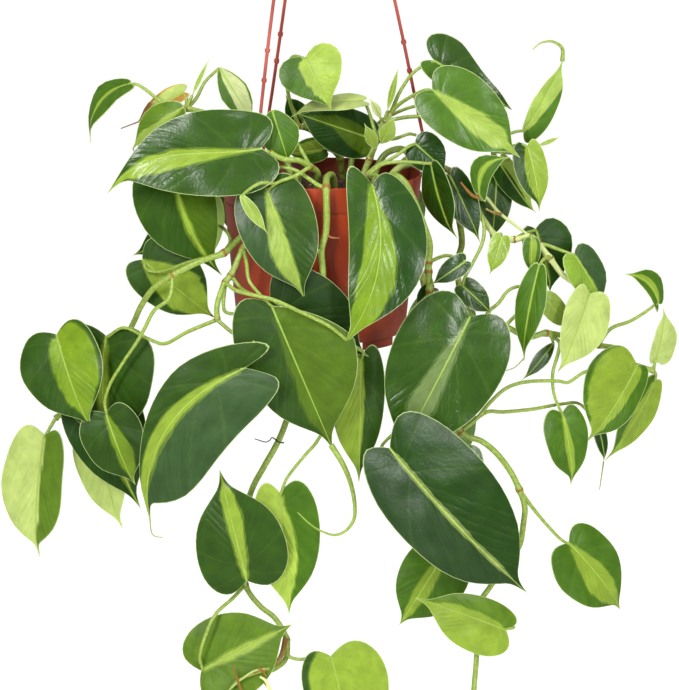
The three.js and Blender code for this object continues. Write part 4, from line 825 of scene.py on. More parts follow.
VINE_LOWER_RIGHT = Vine(
    "vine_lower_right", (46, 40),
    ((54, -2, 50), (62, -7, 56), (68, -18, 60), (76, -38, 62), (81, -54, 62), (80, -67, 62), (80, -74, 63),
     (81, -89, 66), (86, -120, 74), (94, -155, 80), (104, -194, 84), (120, -201, 86), (131, -210, 86),
     (141, -223, 86), (148, -237, 86), (152, -250, 86), (151, -263, 86), (148, -279, 86), (141, -289, 86),
     (126, -310, 85), (117, -324, 82), (116, -345, 80), (116, -361, 80), (114, -387, 80), (113, -410, 80)),
    (
        Leaf(45, (111, -108, 88), (55, -215, 94), (42, 43), ((81, -89, 66), (90, -92, 70), (102, -98, 78)),
            Tone.FOREST, ((-0.05, 0.06), (-0.13, 0.22), (-0.5, 0.6)), lime=Tone.SAGE),
        Leaf(46, (51, -206, 114), (157, -316, 98), (46, 36), ((86, -120, 74), (74, -160, 82), (58, -190, 86),
            (46, -203, 94), (46, -206, 106)),
            Tone.DEEP, ((-0.02, 0.02), (-0.025, 0.025), (-0.03, 0.03)), lime=Tone.PALE, sweep=0.03,
            oval=(1.1, 1.1), beside=Tone.SLATE, dull=0.25),
        Leaf(47, (92, -285, 72), (58, -339, 76), (28, 24), ((141, -289, 86), (120, -281, 78),
            (104, -279, 74)),
            Tone.LEAF, ((-0.1, 0.1), (-0.22, 0.2), (-0.3, 0.3)), dull=0.7),
        Leaf(48, (138, -342, 88), (71, -318, 92), (25, 18), ((117, -324, 82), (126, -334, 80),
            (138, -337, 82), (144, -340, 86)),
            Tone.FRESH, ((-1.2, 0.2), (-1.2, 0.3), (-1.2, 0.4)), dull=0.5),
        Leaf(49, (185, -277, 80), (225.5, -327, 84), (24, 28), ((148, -237, 86), (159, -252, 84),
            (170, -265, 82), (180, -275, 80)),
            Tone.LEAF, ((-0.1, 0.12), (-0.3, 0.45), (-0.5, 0.8)), dull=0.4),
        Leaf(44, (236, -144, 67), (200, -202, 75), (15, 32), ((104, -194, 84), (115, -185, 80),
            (127, -171, 78), (137, -162, 76), (146, -158, 74), (158, -156, 72), (178, -156, 70),
            (184, -157, 70), (195, -150, 68), (203, -147, 66), (218, -142, 64)),
            Tone.LEAF, ((-0.45, 0.9), (-0.4, 0.8), (-0.3, 0.9)), oval=(1.3, 1.3), dull=0.5),
        Leaf(73, (206, -187, 53), (212, -217, 54), (5, 5), ((104, -194, 84), (124, -179, 74),
            (135, -179, 70), (157, -177, 66), (180, -173, 58), (193, -173, 51.5)),
            Tone.DEEP, tail=((208, -237, 54),)),
        Leaf(68, (108, -66, 70), (82, -84, 74), (8, 9), ((80, -67, 62), (94, -62, 66)),
            Tone.DEEP),
        Leaf(69, (84, -86, 58), (70, -100, 60), (7, 7), ((80, -74, 63),),
            Tone.DEEP),
    ),
)

SHOOT_CROWN_LEFT = Vine(
    "shoot_crown_left", (16, -52),
    ((15, 2, -50), (14, 10, -46), (5, 23, -38), (-6, 31, -28), (-17, 35, -20)),
    (
        Leaf(54, (-12, 86, 12), (7, 48, 26), (25, 25), ((-17, 35, -20), (-24, 55, -12), (-26, 74, -2),
            (-21, 87, 8)),
            Tone.LEAF, ((-1.2, 0.35), (-1.2, 0.35), (-1.2, 0.5)), lime=Tone.YELLOW, oval=(0.4, 0.4),
            dull=0.4),
        Leaf(57, (-14, 38, -26), (-27, 58, -22), (9, 9), ((-6, 31, -28),),
            Tone.DEEP, dull=0.8),
        Leaf(66, (2, 18, -62), (-26, 14, -74), (10, 10), ((14, 10, -46), (8, 16, -56)),
            Tone.LEAF, ((-0.2, 0.8), (-0.3, 0.6)), dull=0.8),
    ),
)

VINE_BACK_TRAILING = Vine(
    "vine_back_trailing", (-24, -46),
    ((-28, 12, -56), (-34, 19, -66), (-36, 18, -74), (-30, 2, -86), (-20, -30, -88), (-8, -80, -84),
     (0, -130, -78), (-6, -165, -74), (-10, -185, -72)),
    (
        Leaf(101, (-8, -14, -94), (4, -84, -104), (25, 25), ((-30, 2, -86), (-20, -6, -92)),
            Tone.FOREST, ((-0.05, 0.08), (-0.1, 0.2), (-0.4, 0.4)), roll=180),
        Leaf(102, (8, -78, -92), (-4, -128, -98), (22, 22), ((-8, -80, -84),),
            Tone.DEEP, ((-0.05, 0.05), (-0.2, 0.1), (-0.5, 0.2)), roll=180),
        Leaf(103, (-4, -128, -86), (-10, -192, -92), (25, 25), ((0, -130, -78),),
            Tone.FOREST, ((-1.2, 0.05), (-1.2, 0.1), (-1.2, 0.3)), roll=180),
        Leaf(104, (-12, -150, -62), (4, -194, -56), (17, 17), ((0, -130, -78),),
            Tone.LEAF, ((-0.2, 0.2), (-0.3, 0.3))),
    ),
)

VINE_BACK_LEFT = Vine(
    "vine_back_left", (-34, -34),
    ((-44, 6, -34), (-58, 12, -36), (-68, 14, -36), (-77, 12, -38), (-86, 0, -48), (-96, -26, -60),
     (-98, -50, -66)),
    (
        Leaf(111, (-60, 8, -82), (-56, -62, -98), (23, 23), ((-77, 12, -38), (-74, 12, -56), (-66, 12, -70)),
            Tone.DEEP, ((-0.05, 0.05), (-0.1, 0.12), (-0.3, 0.3)), roll=180),
        Leaf(112, (-92, 6, -62), (-134, -20, -60), (20, 20), ((-77, 12, -38), (-85, 9, -52)),
            Tone.LEAF, ((-0.1, 0.1), (-0.4, 0.3), (-0.6, 0.6)), roll=180),
        Leaf(113, (-94, -16, -82), (-94, -78, -92), (22, 22), ((-86, 0, -48), (-92, -10, -68)),
            Tone.FOREST, ((-0.1, 1.2), (-0.2, 1.2), (-0.2, 1.2)), lime=Tone.BRIGHT, roll=180),
        Leaf(114, (-102, -48, -54), (-112, -80, -44), (14, 14), ((-98, -50, -66),),
            Tone.LEAF, ((-0.1, 0.1), (-0.2, 0.2))),
        Leaf(133, (-66, 26, -30), (-112, 24, -46), (19, 19), ((-58, 12, -36), (-60, 20, -33)),
            Tone.LEAF, ((-0.1, 0.1), (-0.3, 0.3)), roll=180),
    ),
)

VINE_BACK_RIGHT = Vine(
    "vine_back_right", (40, -30),
    ((46, 12, -40), (54, 17, -50), (62, 17, -58), (68, 6, -66), (68, -14, -72), (70, -50, -70),
     (80, -100, -52), (90, -145, -38), (96, -180, -28), (98, -215, -22)),
    (
        Leaf(121, (56, -12, -88), (34, -80, -100), (28, 28), ((68, 6, -66), (64, -2, -80)),
            Tone.FOREST, ((-0.08, 0.05), (-0.2, 0.1), (-0.5, 0.3)), roll=180),
        Leaf(122, (92, -96, -64), (84, -160, -74), (27, 27), ((80, -100, -52),),
            Tone.DEEP, ((-0.05, 0.05), (-0.08, 0.08), (-0.2, 0.2)), roll=180),
        Leaf(123, (84, -162, -46), (102, -232, -48), (28, 28), ((90, -145, -38),),
            Tone.FOREST, ((-1.2, 0), (-1.2, 0.1), (-1.2, 0.5)), lime=Tone.OLIVE, roll=180),
        Leaf(124, (104, -206, -8), (86, -262, -2), (22, 22), ((96, -180, -28),),
            Tone.LEAF, ((-0.1, 0.1), (-0.3, 0.3), (-0.5, 0.5))),
    ),
)

SHOOT_BACK_CROWN = Vine(
    "shoot_back_crown", (22, -40),
    ((22, 6, -44), (24, 18, -52), (26, 26, -58)),
    (
        Leaf(131, (22, 34, -66), (-6, 22, -120), (21, 21), ((26, 26, -58),),
            Tone.DEEP, ((-0.05, 0.05), (-0.15, 0.15), (-0.4, 0.4)), roll=180),
        Leaf(132, (88, 48, -40), (122, 34, -78), (18, 18), ((24, 18, -52), (44, 38, -56), (72, 50, -46)),
            Tone.LEAF, ((-0.3, 1.2), (-0.3, 1.2)), lime=Tone.YELLOW, roll=180),
    ),
)

VINES = (
    VINE_FRONT_TRAILING, VINE_LEFT_UPPER, VINE_LEFT_LOWER, SHOOT_LEFT_TOP, SHOOT_FRONT_LEFT,
    SHOOT_FRONT_RIGHT, VINE_CROWN_RIGHT, VINE_RIGHT_UPPER, VINE_RIGHT_LOWER, VINE_LOWER_RIGHT,
    SHOOT_CROWN_LEFT, VINE_BACK_TRAILING, VINE_BACK_LEFT, VINE_BACK_RIGHT, SHOOT_BACK_CROWN,
)


def placed(name: str, data: bpy.types.ID) -> Object:
    """Puts a new object in the scene.

    Args:
        name: the object's name.
        data: its mesh, lamp or camera.

    Returns:
        The object.
    """
    piece = bpy.data.objects.new(name, data)
    bpy.context.scene.collection.objects.link(piece)
    return piece


def closed_book(name: str, book: bmesh.types.BMesh) -> Mesh:
    """Turns a shape that was built face by face into a mesh.

    Args:
        name: the mesh's name.
        book: the shape, which is freed.

    Returns:
        The mesh.
    """
    mesh = bpy.data.meshes.new(name)
    book.to_mesh(mesh)
    book.free()
    return mesh


class Tree(NodeSheet):
    """A Geometry Nodes tree being written, with named inputs and fixed ends."""

    def __init__(self, name: str, **inputs: str) -> None:
        """Makes the tree.

        Args:
            name: the tree's name.
            inputs: the name of each further input to its socket type.
        """
        group = bpy.data.node_groups.new(name, "GeometryNodeTree")
        face = group.interface
        face.new_socket("Geometry", in_out="INPUT", socket_type="NodeSocketGeometry")
        self.sockets = {
            label: face.new_socket(label, in_out="INPUT", socket_type=kind).identifier
            for label, kind in inputs.items()
        }
        face.new_socket("Geometry", in_out="OUTPUT", socket_type="NodeSocketGeometry")
        super().__init__(group)
        self.start = self.add(Step.TREE_START)

    def close(self, geometry: Any) -> None:
        """Ends the tree in Realize Instances and Set Material."""
        smooth = self.add(Step.SMOOTH, self.add(Step.REALIZED, geometry))
        self.add(Step.TREE_END, self.add(Step.DRESSED, smooth, self.start["Finish"]))

    def apply(self, name: str, seed_mesh: Mesh, **values: Any) -> Object:
        """Runs the tree on a mesh and keeps the result as a plain mesh.

        Args:
            name: the finished object's name.
            seed_mesh: the mesh that the tree starts from.
            values: a value for each named input.

        Returns:
            The finished object, at the origin, with no modifier.
        """
        piece = placed(name, seed_mesh)
        modifier = piece.modifiers.new("Making", "NODES")
        modifier.node_group = self.tree
        for label, value in values.items():
            modifier[self.sockets[label]] = value
        graph = bpy.context.evaluated_depsgraph_get()
        made = bpy.data.meshes.new_from_object(piece.evaluated_get(graph), depsgraph=graph)
        made.name = name
        piece.modifiers.remove(modifier)
        piece.data = made
        bpy.data.meshes.remove(seed_mesh)
        return piece


def tube_tree() -> Tree:
    """The tree that lays a round skin along paths, as thick as their own attribute says.

    Returns:
        The tree, with Sides for the faces round a path.
    """
    tree = Tree("round_along_path", Sides="NodeSocketInt", Finish="NodeSocketMaterial")
    path = tree.add(Step.CURVE, tree.start["Geometry"])
    ring = tree.add(Step.CIRCLE, tree.start["Sides"], 1.0)
    tree.close(tree.add(Step.TUBE, path, ring, tree.add(Step.THICKNESS, "thickness"), True))
    return tree


def curve_through(points: Sequence[Vector], spacing: float) -> list[Vector]:
    """Places on a smooth curve through the points, no further apart than the spacing.

    Args:
        points: at least two points.
        spacing: the largest step, in the points' own unit.

    Returns:
        The places, from the first point to the last.
    """
    guide = [points[0] * 2 - points[1], *points, points[-1] * 2 - points[-2]]
    places = [points[0].copy()]
    for start in range(len(points) - 1):
        before, here, there, after = guide[start : start + 4]
        span = max((there - here).length, 1e-6)
        left = math.sqrt(max((here - before).length, 1e-6) / span)
        right = math.sqrt(max((after - there).length, 1e-6) / span)
        leave = (here - before) / left - (there - before) / (left + 1.0) + (there - here)
        arrive = (there - here) - (after - here) / (1.0 + right) + (after - there) / right
        steps = max(1, math.ceil(span / spacing))
        for step in range(1, steps + 1):
            t = step / steps
            t2, t3 = t * t, t * t * t
            places.append(
                here * (2 * t3 - 3 * t2 + 1) + leave * (t3 - 2 * t2 + t)
                + there * (3 * t2 - 2 * t3) + arrive * (t3 - t2)
            )
    return places


@dataclass
class Path:
    """A round stem, petiole or wire: its points and radii in millimetres, and the state of its skin."""

    points: Sequence[Vector]
    start_radius: float
    end_radius: float
    start_age: float = 0.0
    end_age: float = 0.0
    knots: Sequence[Vector] = ()
    spacing: float = 2.5
    start_pale: float = 0.0
    end_pale: float = 0.0


SWELLING = 0.35  # how much thicker a stem is at a node
SWELLING_REACH = 2.6  # how far along the stem that goes, in millimetres
SCAR_AGE = 0.7  # how much older its skin looks there
SCAR_REACH = 1.1
NO_NODE = 99.0  # the distance to the nearest node of a path without any


def path_mesh(name: str, paths: Iterable[Path]) -> Mesh:
    """A mesh of bare edges along the paths, with their thickness, age and paleness at each point.

    Args:
        name: the mesh's name.
        paths: the paths.

    Returns:
        The mesh, in metres.
    """
    places: list[Vector] = []
    edges: list[tuple[int, int]] = []
    values: dict[str, list[float]] = {"thickness": [], "age": [], "pale": []}
    for path in paths:
        run = curve_through(path.points, path.spacing)
        first = len(places)
        for index, place in enumerate(run):
            share = index / (len(run) - 1)
            nearest = min(((place - knot).length for knot in path.knots), default=NO_NODE)
            swelling = SWELLING * math.exp(-((nearest / SWELLING_REACH) ** 2))
            scar = SCAR_AGE * math.exp(-((nearest / SCAR_REACH) ** 2))
            radius = lerp(path.start_radius, path.end_radius, share) * (1.0 + swelling)
            places.append(place * MM)
            values["thickness"].append(radius * MM)
            values["age"].append(lerp(path.start_age, path.end_age, share) + scar)
            values["pale"].append(lerp(path.start_pale, path.end_pale, share))
            if index:
                edges.append((first + index - 1, first + index))
    mesh = bpy.data.meshes.new(name)
    mesh.from_pydata(places, edges, [])
    for label, numbers in values.items():
        mesh.attributes.new(label, "FLOAT", "POINT").data.foreach_set("value", numbers)
    return mesh


VEINS = 13.0  # side veins on each half of a blade
HALF_WIDTH = 0.41  # the half width of a blade, as a share of its length, for the fan of its veins
FAN = (-1.3, 1.5)  # slope of the first side vein, back into the lobe, and of those along the leaf
FAN_END = 0.26  # where along the midrib the fan has turned to the second slope

# Half of a leaf's outline, row by row: how far along the midrib the row starts, then its reach as a share
# of the half width and how far along the leaf its edge lies, for a heart and for an oval
OUTLINE = (
    (0.0, 0.0, 0.0, 0.0, 0.0),
    (0.03, 0.16, -0.08, 0.17, -0.045),
    (0.07, 0.41, -0.138, 0.41, -0.08),
    (0.12, 0.68, -0.125, 0.64, -0.055),
    (0.18, 0.89, -0.04, 0.82, 0.02),
    (0.26, 0.99, 0.07, 0.95, 0.13),
    (0.36, 1.0, 0.2, 1.0, 0.27),
    (0.46, 0.91, 0.32, 0.98, 0.41),
    (0.56, 0.77, 0.445, 0.89, 0.55),
    (0.66, 0.6, 0.57, 0.7, 0.68),
    (0.76, 0.415, 0.69, 0.42, 0.78),
    (0.85, 0.235, 0.81, 0.17, 0.855),
    (0.92, 0.105, 0.9, 0.07, 0.91),
    (0.97, 0.034, 0.965, 0.025, 0.965),
    (1.0, 0.004, 1.0, 0.004, 1.0),
)
SHOULDER = 0.45  # share of the midrib over which a half without its lobe widens


def outline_row(place: float, oval: float, lobe: float) -> Vector:
    """A row of the outline of one half of a blade.

    Args:
        place: where between the listed rows.
        oval: the share of the oval in the outline.
        lobe: 1 where the half runs back into a lobe, 0 where it tapers to the petiole.

    Returns:
        The row's start on the midrib, its reach and its edge.
    """
    last = len(OUTLINE) - 1
    index = min(int(place), last - 1)
    t = place - index
    rows = []
    for step in (-1, 0, 1, 2):
        start, reach, edge, oval_reach, oval_edge = OUTLINE[min(max(index + step, 0), last)]
        rows.append(Vector((start, lerp(reach, oval_reach, oval), lerp(edge, oval_edge, oval))))
    before, here, there, after = rows
    start, reach, edge = 0.5 * (
        2 * here + (there - before) * t
        + (2 * before - 5 * here + 4 * there - after) * t * t
        + (3 * here - before - 3 * there + after) * t ** 3
    )
    taper = (1 - lobe) * max(0.0, 1 - start / SHOULDER)
    return Vector((start, reach * (1 - taper), lerp(edge, start, taper)))


def side_vein(out: float, along: float) -> float:
    """The number of the side vein through a place, counted from the leaf's base.

    The veins fan out from the base, back into the lobes and forward along the leaf.

    Args:
        out: the place's distance from the midrib, as a share of the leaf's length.
        along: its share of the leaf's length.

    Returns:
        The number, with its fraction between two veins.
    """
    low, high = 0.0, 1.1
    for _ in range(18):
        guess = (low + high) / 2
        slope = lerp(*FAN, smoothstep(0.0, FAN_END, guess))
        if guess + slope * out + 0.5 * out * out > along:
            high = guess
        else:
            low = guess
    return VEINS * math.sqrt(high)


class Blade:
    """A leaf's blade as a thin closed shell with the attributes that its finish reads."""

    thickness = 0.5
    fold = math.radians(9.0)  # how far each half rises from the midrib
    bend = 0.05  # how far the midrib arches up, as a share of its length
    cup = 0.13
    wave = 0.05
    waves = 1.7  # along each half
    wave_shift = 1.3  # of the first half's waves against the second's
    droop = 0.05
    droop_start = 0.72
    hook_peak = 6.75  # brings the greatest value of share * share * (1 - share) to one
    large = 55.0  # a longer blade gets every row and more columns
    small_columns = 8
    large_columns = 14
    narrowest = 0.35  # least half width by which a stripe is measured
    golden = 0.618034  # spreads the leaves' numbers evenly between 0 and 1

    def __init__(self, leaf: Leaf) -> None:
        """Finds the leaf's own axes: along the midrib, across it, and out of its upper face.

        Args:
            leaf: the leaf, as it was read.
        """
        self.leaf = leaf
        self.base = Sight.seen(leaf.base)
        self.along = Sight.seen(leaf.tip) - self.base
        self.length = self.along.length
        self.along.normalize()
        sight = (Sight.eye - self.base).normalized()
        outward = 2 * Sight.wrap_curve * Sight.beyond_wrap((leaf.base[0] + leaf.tip[0]) / 2)
        facing = sight + Sight.right * outward
        facing = (facing - self.along * facing.dot(self.along)).normalized()
        side = self.along.cross(facing)
        self.widening = 1 / math.sqrt(1 - side.dot(sight) ** 2)
        roll = math.radians(leaf.roll)
        self.normal = facing * math.cos(roll) + side * math.sin(roll)
        self.across = self.along.cross(self.normal)
        self.turn = (leaf.number * self.golden) % 1.0

    def point(self, row: Vector, v: float) -> Vector:
        """A place on the blade's middle surface.

        Args:
            row: a row of the outline.
            v: the place on the row, from -1 to 1.

        Returns:
            The point, in millimetres.
        """
        half = self.leaf.half[0 if v < 0 else 1] * self.widening
        share = lerp(row[0], row[2], abs(v))
        arch = 4 * self.length * share * (1 - share)
        hook = self.hook_peak * self.length * share * share * (1 - share) * self.leaf.hook
        x = v * row[1] * half
        rise = (math.sqrt(x * x + 1.0) - 1.0) * math.sin(self.fold) - self.cup * x * x / half
        shift = self.wave_shift if v < 0 else 0.0
        ripple = math.sin(2 * math.pi * (self.waves * share + self.turn) + shift)
        rise += self.wave * half * abs(v) ** 3 * row[1] * ripple
        rise -= self.droop * self.length * smoothstep(self.droop_start, 1.0, share) ** 2
        return (
            self.base
            + self.across * (x * math.cos(self.fold) + arch * self.leaf.sweep + hook)
            + self.along * (share * self.length)
            + self.normal * (rise + arch * self.bend)
        )

    def midrib(self, share: float, below: float) -> Vector:
        """A place on the midrib, that many millimetres under the middle surface."""
        return self.point(Vector((share, 0.0, share)), 0.0) - self.normal * below

    def lime_depth(self, row: Vector, v: float) -> tuple[float, float]:
        """How far a place lies inside the leaf's lime area, and how wide that is there, in half widths.

        Args:
            row: a row of the outline.
            v: the place on the row, from -1 to 1.

        Returns:
            The depth, below zero outside the area, and the width.
        """
        stripe = self.leaf.stripe
        share = min(1.0, max(0.0, lerp(row[0], row[2], abs(v)))) * (len(stripe) - 1)
        index = min(int(share), max(0, len(stripe) - 2))
        low, high = stripe[index]
        if len(stripe) > 1:
            low = lerp(low, stripe[index + 1][0], share - index)
            high = lerp(high, stripe[index + 1][1], share - index)
        depth = min(v - low, high - v) * max(row[1], self.narrowest)
        return depth, min(max(high - low, 0.0), 1.0)

    def build(self, sheet: "BladeSheet") -> None:
        """Adds the blade's two faces and its rim to a sheet of blades.

        Args:
            sheet: the sheet of the stem that the leaf grows on.
        """
        large = self.length > self.large
        sides = list(zip(self.leaf.oval, self.leaf.lobes, strict=True))
        places = [index / 2 for index in range(1, 2 * len(OUTLINE) - 1)]
        rows = [[outline_row(place, oval, lobe) for oval, lobe in sides] for place in places]
        rows = rows if large else rows[1::2]
        columns = self.large_columns if large else self.small_columns
        root = Vector()
        rims = []
        for under in (0.0, 1.0):
            offset = self.normal * self.thickness * (0.5 - under)
            apex = sheet.vertex(self, self.point(root, 0.0) + offset, root, 0.0, under)
            grid = []
            for halves in rows:
                line = []
                for column in range(columns + 1):
                    v = -1.0 + 2.0 * column / columns
                    row = halves[0 if v < 0 else 1]
                    line.append(sheet.vertex(self, self.point(row, v) + offset, row, v, under))
                grid.append(line)
            for left in range(columns):
                sheet.face((apex, grid[0][left + 1], grid[0][left]), under == 1.0)
                for here, there in zip(grid, grid[1:]):
                    sheet.face((here[left], here[left + 1], there[left + 1], there[left]), under == 1.0)
            sheet.face(tuple(grid[-1]), under == 1.0)
            right_edge = [line[-1] for line in grid]
            left_edge = [line[0] for line in reversed(grid)]
            rims.append([apex, *right_edge, *reversed(grid[-1][1:-1]), *left_edge])
        top, low = rims
        for index, here in enumerate(top):
            after = (index + 1) % len(top)
            sheet.face((here, low[index], low[after], top[after]), False)


class BladeSheet:
    """The blades of one stem, gathered into one mesh with their attributes."""

    tint = (0.68, 0.78)  # of the tones, from the deepest leaf to the palest
    seed_step = 7.3  # between the patterns of one leaf and the next
    drying = (1.6, 0.4)  # how far from the tip a dry leaf begins to dry, and is dry, for a dryness of one
    crease_degrees = 55.0

    def __init__(self) -> None:
        """Starts empty."""
        self.places: list[Vector] = []
        self.faces: list[tuple[int, ...]] = []
        self.values: dict[str, list[float]] = {label: [] for label in LEAF_VALUES}
        self.tones: dict[str, list[float]] = {"dark_tone": [], "lime_tone": []}

    def vertex(self, blade: Blade, place: Vector, row: Vector, v: float, under: float) -> int:
        """Adds a vertex with what the finish needs to know there.

        Args:
            blade: the blade that it belongs to.
            place: its point, in millimetres.
            row: its row of the outline.
            v: its place on the row, from -1 to 1.
            under: 1 on the underside, 0 on the upper face.

        Returns:
            The vertex's number.
        """
        leaf = blade.leaf
        share = lerp(row[0], row[2], abs(v))
        half = leaf.half[0 if v < 0 else 1] * blade.widening
        out = v * row[1]
        inside, width = blade.lime_depth(row, v)
        starts, ends = (1.0 - reach * leaf.dry for reach in self.drying)
        facts = {
            "vein": side_vein(abs(out) * HALF_WIDTH, share),
            "off": out * half,
            "edge": (1.0 - abs(v)) * row[1] * half,
            "share": share,
            "stripe": inside,
            "width": width,
            "under": under,
            "seed": leaf.number * self.seed_step,
            "dry": smoothstep(starts, ends, share) if leaf.dry else 0.0,
            "dull": leaf.dull,
        }
        for label, value in facts.items():
            self.values[label].append(value)
        self.places.append(place * MM)
        tint = lerp(*self.tint, blade.turn)
        dark = leaf.beside if leaf.beside and v > 0 else leaf.dark
        for label, tone in (("dark_tone", dark), ("lime_tone", leaf.lime)):
            red, green, blue, alpha = linear(tone.value)
            self.tones[label].extend((red * tint, green * tint, blue * tint, alpha))
        return len(self.places) - 1

    def face(self, corners: tuple[int, ...], flip: bool) -> None:
        """Adds a face, turned over where flip is true."""
        self.faces.append(tuple(reversed(corners)) if flip else corners)

    def piece(self, name: str, finish: Material) -> Object:
        """The finished object of all the blades.

        Args:
            name: the object's name.
            finish: the blades' material.

        Returns:
            The object.
        """
        mesh = bpy.data.meshes.new(name)
        mesh.from_pydata(self.places, [], self.faces)
        for label, values in self.values.items():
            mesh.attributes.new(label, "FLOAT", "POINT").data.foreach_set("value", values)
        for label, values in self.tones.items():
            mesh.attributes.new(label, "FLOAT_COLOR", "POINT").data.foreach_set("color", values)
        mesh.shade_smooth()
        mesh.set_sharp_from_angle(angle=math.radians(self.crease_degrees))
        mesh.materials.append(finish)
        mesh.update()
        piece = placed(name, mesh)
        return piece


def settle(piece: Object, node: str) -> Object:
    """Puts a finished piece in the frame in place of its plain solid.

    Args:
        piece: the piece.
        node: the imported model's node that it stands for.

    Returns:
        The piece.
    """
    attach(piece, "root")
    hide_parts(node)
    log.info("%s: %d faces", piece.name, len(piece.data.polygons))
    return piece


@dataclass
class Foliage:
    """The leafy stems: round skins along their paths, and thin blades."""

    finishes: Finishes
    tubes: Tree
    stem_radius: float = 2.6
    stem_end_radius: float = 2.0
    petiole_radius: float = 1.55
    petiole_end_radius: float = 1.1
    rib_radius: float = 0.75
    soil_depth: float = 13.0
    buried: float = 17.0
    neck: float = 4.5  # how far a stem rises straight out of the soil
    stem_spacing: float = 1.4
    foot_age: float = 0.35
    tip_age: float = 0.05
    petiole_age: float = 0.1
    rib_tip_radius: float = 0.25
    rib_slimness: float = 0.014  # the largest rib radius, as a share of the blade's length
    rib_places: tuple[float, ...] = (0.02, 0.15, 0.3, 0.45, 0.6, 0.75, 0.9)
    rib_depth: tuple[float, float] = (0.35, 0.1)  # under the blade's middle, at its base and at its tip
    joint_depth: float = 0.3  # of the petiole's end, under the blade's middle
    tail_place: float = 0.97  # where along the blade its tail starts
    tail_end_radius: float = 0.35
    sides: int = 10

    def stem_paths(self, vine: Vine, blades: Sequence[Blade]) -> list[Path]:
        """Every round part of a stem: the stem, its side shoots and roots, and each leaf's petiole and rib.

        Args:
            vine: the stem.
            blades: its leaves' blades.

        Returns:
            The paths.
        """
        right, out = vine.root
        soil_top = -RIM_DROP - self.soil_depth
        foot = Vector((right, -out, soil_top - self.buried))
        neck = Vector((right, -out, soil_top + self.neck))
        stem = [foot, neck, *(Sight.seen(place) for place in vine.stem)]
        knots = [Sight.seen(leaf.petiole[0]) for leaf in vine.leaves]
        paths = [Path(
            stem, self.stem_radius, self.stem_end_radius, self.foot_age, self.tip_age, knots,
            self.stem_spacing, end_pale=vine.pale,
        )]
        for side in vine.sides:
            places = [Sight.seen(place) for place in side.points]
            paths.append(Path(places, *side.radii, *side.ages, start_pale=side.pale, end_pale=side.pale))
        for blade in blades:
            leaf = blade.leaf
            joint = blade.midrib(self.rib_places[0], self.joint_depth)
            petiole = [*(Sight.seen(place) for place in leaf.petiole), joint]
            paths.append(Path(petiole, self.petiole_radius, self.petiole_end_radius, self.petiole_age))
            rib = [blade.midrib(share, lerp(*self.rib_depth, share)) for share in self.rib_places]
            radius = min(self.rib_radius, blade.length * self.rib_slimness)
            paths.append(Path(rib, radius, self.rib_tip_radius))
            if leaf.tail:
                tail = [blade.midrib(self.tail_place, 0.0), *(Sight.seen(place) for place in leaf.tail)]
                paths.append(Path(tail, leaf.tail_radius, self.tail_end_radius, 2 * leaf.dry, 4 * leaf.dry))
        return paths

    def dress(self, vine: Vine) -> None:
        """Builds one leafy stem and puts it in the frame.

        Args:
            vine: the stem.
        """
        blades = [Blade(leaf) for leaf in vine.leaves]
        sheet = BladeSheet()
        for blade in blades:
            blade.build(sheet)
        settle(sheet.piece(f"{vine.name}_leaves", self.finishes.leaf), vine.name)
        lines = path_mesh(vine.name, self.stem_paths(vine, blades))
        stems = self.tubes.apply(f"{vine.name}_stems", lines, Sides=self.sides, Finish=self.finishes.stem)
        settle(stems, vine.name)


CREASE = math.radians(40.0)  # an edge turned further than this is drawn as an edge
WIRE_CREASE = math.radians(50.0)


def turned(name: str, profile: Sequence[tuple[float, float]], sides: int) -> Mesh:
    """A closed shape turned about the pot's axis.

    Args:
        name: the mesh's name.
        profile: radius and height above the rim, in millimetres, from the lower pole to the upper one.
        sides: faces round the axis.

    Returns:
        The mesh, in metres, with its faces outwards.
    """
    places: list[Vector] = []
    faces: list[tuple[int, ...]] = []
    rings: list[list[int]] = []
    for radius, height in profile:
        count = sides if radius > 0 else 1
        ring = []
        for index in range(count):
            angle = 2 * math.pi * index / sides
            ring.append(len(places))
            place = Vector((radius * math.cos(angle), radius * math.sin(angle), height - RIM_DROP))
            places.append(place * MM)
        rings.append(ring)
    for here, there in zip(rings, rings[1:]):
        for index in range(sides):
            after = (index + 1) % sides
            corners = (
                here[index % len(here)], here[after % len(here)],
                there[after % len(there)], there[index % len(there)],
            )
            faces.append(tuple(dict.fromkeys(corners)))
    mesh = bpy.data.meshes.new(name)
    mesh.from_pydata(places, [], faces)
    return mesh


def as_piece(name: str, mesh: Mesh, finish: Material) -> Object:
    """A smooth-shaded object of a mesh, with its edges creased.

    Args:
        name: the object's name.
        mesh: its mesh.
        finish: its only material.

    Returns:
        The object.
    """
    mesh.shade_smooth()
    mesh.set_sharp_from_angle(angle=CREASE)
    mesh.materials.clear()
    mesh.materials.append(finish)
    piece = placed(name, mesh)
    return piece


def join(name: str, parts: Sequence[Object]) -> Object:
    """One object of several, each part keeping its own finish.

    Args:
        name: the object's name.
        parts: the objects, which are taken up in it.

    Returns:
        The object.
    """
    book = bmesh.new()
    finishes: list[Material] = []
    for part in parts:
        finish = next(filter(None, part.data.materials))
        if finish not in finishes:
            finishes.append(finish)
        first = len(book.faces)
        book.from_mesh(part.data)
        book.faces.ensure_lookup_table()
        for face in book.faces[first:]:
            face.material_index = finishes.index(finish)
    mesh = closed_book(name, book)
    for finish in finishes:
        mesh.materials.append(finish)
    for part in parts:
        old = part.data
        bpy.data.objects.remove(part)
        bpy.data.meshes.remove(old)
    piece = placed(name, mesh)
    return piece


